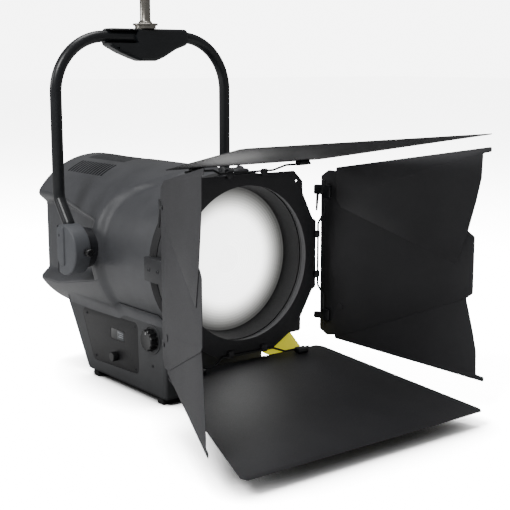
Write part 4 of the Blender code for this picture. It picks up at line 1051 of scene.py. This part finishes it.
def cap_outline(radius):
    """A circle about the tilt axis, cut straight behind it, with both corners rounded."""
    edge = math.acos(20.0 / CAP_R)
    angle = np.linspace(edge, 2.0 * math.pi - edge, 56)
    arc = np.stack([CAP_R * np.cos(angle), CAP_R * np.sin(angle)], -1)
    radii = np.zeros(len(arc))
    radii[0] = radii[-1] = 7.0
    return inset(anticlockwise(fillet(arc, radii, 8)), CAP_R - radius) + np.array(PIVOT_AT)


CAP_R = 43.0


class SPOT_OT_yoke(bpy.types.Operator):
    """Bent tube with its end caps, top bracket, pivot bosses and tilt lock"""

    bl_idname = "spotlight.yoke"
    bl_label = "Yoke"

    def execute(self, context):
        use = stock(context)
        half = [(-174.0, 256.0, 36.0), (-175.0, 261.0, 50.0), (-175.0, 284.0, 79.0), (-175.0, 290.5, 88.0),
                (-175.0, 293.0, 98.0)]
        half = bend(half, 14.0, 6)
        half[:, 0] = np.minimum(half[:, 0], -174.0)
        sweep = np.linspace(math.pi, math.pi / 2.0, 26)
        arc = np.stack([-80.0 + 95.0 * np.cos(sweep), np.full(26, 293.0), 266.0 + 95.0 * np.sin(sweep)], -1)
        straight = np.stack([np.full(8, -175.0), np.full(8, 293.0), np.linspace(110.0, 250.0, 8)], -1)
        half = np.concatenate([half, straight, arc])
        other = half[::-1] * np.array([-1.0, 1.0, 1.0])
        centre = np.stack([np.linspace(-60.0, 60.0, 7), np.full(7, 293.0), np.full(7, 361.0)], -1)
        path = np.concatenate([half, centre, other])
        piece("tube", bar(path, 10.0, 40, (0.0, 1.0, 0.001)), use["satin"], "yoke", ["yoke_tube"])
        for name, sign in (("left", -1.0), ("right", 1.0)):
            near, far = sorted((sign * 162.0, sign * 192.0))
            shell = slab(cap_outline(CAP_R), "x", near, far, 3.2, 5)
            ridge = fillet([(246.0, 49.5), (269.5, 44.5), (269.5, -10.0), (261.0, -19.0), (246.0, -19.0)],
                           (4.0, 4.0, 5.0, 5.0, 5.0), 5)
            near, far = sorted((sign * 190.0, sign * 194.6))
            bump = slab(ridge, "x", near, far, 2.4, 5)
            piece("cap_shell_" + name, join(shell, bump), use["cap"], "yoke", ["cap_" + name])
            head = screw_head("x", (260.0, 32.0), 2.4, sign * 194.0, sign * 194.9)
            piece("cap_screw_" + name, head, use["wire"], "yoke")
            boss = [(0.01, 100.0), (31.0, 100.0), (30.0, 103.0), (29.0, 108.0), (30.5, 130.0), (34.5, 152.0),
                    (35.5, 158.0), (35.0, 160.6), (0.01, 160.6)]
            boss = [(r, sign * x) for r, x in soften(boss, 1.5, 4)]
            piece("boss_" + name, turned(boss, "x", PIVOT_AT, 96), use["satin_paint"], "head",
                  ["pivot_" + name])
        angle = np.linspace(0.0, 2.0 * math.pi, 120, endpoint=False)
        grip = 0.3 * (1.0 + np.cos(10.0 * angle))
        rings = []
        for radius, y, share in ((0.4, 193.6, 0.0), (5.8, 193.8, 0.5), (6.8, 195.0, 1.0), (7.0, 205.0, 1.0),
                                 (6.4, 206.4, 0.4), (3.0, 206.5, 0.0), (3.0, 208.6, 0.0), (0.3, 208.6, 0.0)):
            reach = radius - share * grip
            rings.append(on_axis("y", -172.0 + reach * np.cos(angle), 8.0 + reach * np.sin(angle),
                                 np.full(len(angle), y)))
        piece("lock_knob", stack(np.stack(rings)), use["plastic"], "lock", ["tilt_lock"])
        self.bracket(use)
        return {"FINISHED"}

    def bracket(self, use):
        """Boat-shaped clamp over the top of the tube, cut away at its front left."""
        outline = [(-78.0, 375.0), (86.0, 375.0), (86.0, 348.0), (60.0, 339.0), (35.0, 325.5), (18.0, 319.0),
                   (-12.0, 319.0), (-28.0, 324.0), (-52.0, 333.0), (-78.0, 346.0)]
        outline = fillet(outline, (8.0, 8.0, 9.0, 14.0, 16.0, 12.0, 12.0, 16.0, 20.0, 9.0), 7)
        shape = slab(outline, "y", 277.5, 308.5, 6.0, 7)
        bracket = piece("bracket", shape, use["satin"], "yoke", ["yoke_bracket"])
        window = fillet([(-120.0, 349.6), (-18.0, 349.6), (-25.0, 361.0), (-18.0, 372.4), (-120.0, 372.4)],
                        (0.0, 1.5, 12.0, 1.5, 0.0), 6)
        hole = plug(1.9, 260.0, 320.0, "y", (-59.0, 341.5), segments=24)
        cut_out(bracket, slab(window, "y", 262.0, 293.0), hole)


class SPOT_OT_spigot(bpy.types.Operator):
    """Turned stainless spigot with its collar and washer"""

    bl_idname = "spotlight.spigot"
    bl_label = "Spigot"

    def execute(self, context):
        use = stock(context)
        profile = [(0.01, 478.0), (11.6, 478.0), (12.6, 477.6), (14.0, 475.0), (14.0, 429.6), (13.4, 428.4),
                   (9.6, 426.0), (9.3, 424.6), (9.3, 390.0), (10.0, 388.4), (12.0, 386.0), (12.0, 384.1),
                   (21.4, 384.1), (22.0, 383.5), (22.0, 381.0), (21.4, 380.5), (18.5, 380.4), (18.5, 375.4),
                   (0.01, 375.4)]
        piece("turned_spigot", turned(profile, "z", (4.0, 293.0), 128), use["stainless"], "spigot",
              ["spigot"])
        return {"FINISHED"}


class SPOT_OT_cup(bpy.types.Operator):
    """Yellow pole cup and the bracket that carries it"""

    bl_idname = "spotlight.cup"
    bl_label = "Pole cup"

    def execute(self, context):
        use = stock(context)
        bell = [(0.01, -117.0), (7.4, -117.0), (8.0, -117.6), (8.0, -120.2), (7.6, -120.7), (5.0, -120.7),
                (5.0, -134.3), (11.6, -134.3), (13.2, -136.0), (16.0, -141.0), (32.4, -164.6), (33.7, -166.4),
                (34.0, -168.0), (34.0, -172.4), (33.4, -173.0), (32.6, -173.0), (32.0, -172.4), (32.0, -167.6),
                (31.0, -165.8), (14.6, -142.4), (11.4, -139.6), (0.01, -139.5)]
        piece("pole_cup", turned(bell, "z", CUP_AT, 96), use["yellow"], "cup",
              ["focus_cup"])
        arm = block((76.0, 34.0, -134.0), (124.0, 84.0, -121.0), 3.0)
        bracket = piece("cup_arm", arm, use["satin_paint"], "head", ["cup_bracket"])
        cut_out(bracket, plug(5.1, -150.0, -100.0, "z", CUP_AT, 48))
        return {"FINISHED"}


class SPOT_OT_inside(bpy.types.Operator):
    """Finishes of the mechanism's own parts: optics, drive, electrics and rear"""

    bl_idname = "spotlight.inside"
    bl_label = "Inner parts"

    def execute(self, context):
        use = stock(context)
        finishes = {
            "aluminium": ("carriage_plate", "heatsink", "power_supply", "front_ring", "rear_bulkhead"),
            "bright": ("reflector",),
            "ground": ("guide_rod_left", "guide_rod_right", "lead_screw", "encoder_stem"),
            "board": ("driver_board",),
            "ceramic": ("led_board",),
            "plastic": ("fan_frame", "fan_rotor", "power_inlet", "power_outlet", "data_in", "data_out"),
            "satin_paint": ("lens_retainer", "base_floor", "rear_grille"),
        }
        for key, names in finishes.items():
            for name in names:
                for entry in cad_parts[name].material_slots:
                    entry.material = use[key]
        return {"FINISHED"}


# ------------------------------------------------------------------ stage

class SPOT_OT_stage(bpy.types.Operator):
    """Pale floor, soft lights and the camera"""

    bl_idname = "spotlight.stage"
    bl_label = "Stage"

    def execute(self, context):
        scene = context.scene
        corners = np.array([[-30.0, -30.0, 0.0], [30.0, -30.0, 0.0], [30.0, 30.0, 0.0], [-30.0, 30.0, 0.0]])
        mesh = bpy.data.meshes.new("floor")
        mesh.from_pydata(corners.tolist(), [], [(0, 1, 2, 3)])
        floor = bpy.data.objects.new("floor", mesh)
        scene.collection.objects.link(floor)
        mesh.materials.append(paper_sweep("white_paper_sweep", 0.8, 25.0))
        world = bpy.data.worlds.new("studio")
        world.use_nodes = True
        strength = seen_as(world.node_tree, 0.25, 6.8)
        world.node_tree.links.new(strength, world.node_tree.nodes["Background"].inputs["Strength"])
        world.node_tree.nodes["Background"].inputs["Color"].default_value = (1.0, 1.0, 1.0, 1.0)
        scene.world = world
        for name, place, size, power in (
            ("key", (-2.1, -0.7, 2.3), 1.1, 52.0),
            ("top", (0.1, 0.3, 2.8), 1.6, 34.0),
            ("rim", (-2.0, 1.4, 1.2), 1.0, 12.0),
        ):
            light = bpy.data.lights.new(name, "AREA")
            light.shape = "DISK"
            light.size = size
            light.energy = power
            lamp = bpy.data.objects.new(name, light)
            lamp.location = place
            lamp.rotation_euler = (Vector(place) - Vector((0.0, 0.0, 0.25))).to_track_quat("Z", "Y").to_euler()
            scene.collection.objects.link(lamp)
        azimuth, elevation = math.radians(-38.01), math.radians(10.07)
        back = Vector((math.sin(azimuth) * math.cos(elevation), -math.cos(azimuth) * math.cos(elevation),
                       math.sin(elevation)))
        camera = bpy.data.cameras.new("camera")
        camera.sensor_width = 36.0
        camera.lens = 76.8
        camera.clip_end = 100.0
        view = bpy.data.objects.new("camera", camera)
        view.location = (-1.044, -1.468, 0.561)
        view.rotation_euler = back.to_track_quat("Z", "Y").to_euler()
        scene.collection.objects.link(view)
        scene.camera = view
        return {"FINISHED"}


STEPS = (SPOT_OT_housing, SPOT_OT_base, SPOT_OT_controls, SPOT_OT_front, SPOT_OT_doors, SPOT_OT_leaves,
         SPOT_OT_yoke, SPOT_OT_spigot, SPOT_OT_cup, SPOT_OT_inside, SPOT_OT_stage)


class SPOT_PT_panel(bpy.types.Panel):
    """Lists the sizes, colours and steps"""

    bl_idname = "SPOT_PT_panel"
    bl_label = "Spotlight"
    bl_space_type = "VIEW_3D"
    bl_region_type = "UI"
    bl_category = "Spotlight"

    def draw(self, context):
        column = self.layout.column()
        for group in (context.scene.spotlight_sizes, context.scene.spotlight_colours):
            for name in group.__annotations__:
                column.prop(group, name)
        for step in STEPS:
            column.operator(step.bl_idname)


CLASSES = (SpotlightSizes, SpotlightColours, *STEPS, SPOT_PT_panel)


def register():
    for kind in CLASSES:
        bpy.utils.register_class(kind)
    bpy.types.Scene.spotlight_sizes = bpy.props.PointerProperty(type=SpotlightSizes)
    bpy.types.Scene.spotlight_colours = bpy.props.PointerProperty(type=SpotlightColours)


def unregister():
    del bpy.types.Scene.spotlight_colours
    del bpy.types.Scene.spotlight_sizes
    for kind in reversed(CLASSES):
        bpy.utils.unregister_class(kind)


def main():
    register()
    bpy.ops.spotlight.housing()
    bpy.ops.spotlight.base()
    bpy.ops.spotlight.controls()
    bpy.ops.spotlight.front()
    bpy.ops.spotlight.doors()
    bpy.ops.spotlight.leaves()
    bpy.ops.spotlight.yoke()
    bpy.ops.spotlight.spigot()
    bpy.ops.spotlight.cup()
    bpy.ops.spotlight.inside()
    bpy.ops.spotlight.stage()


if __name__ == "__main__":
    main()
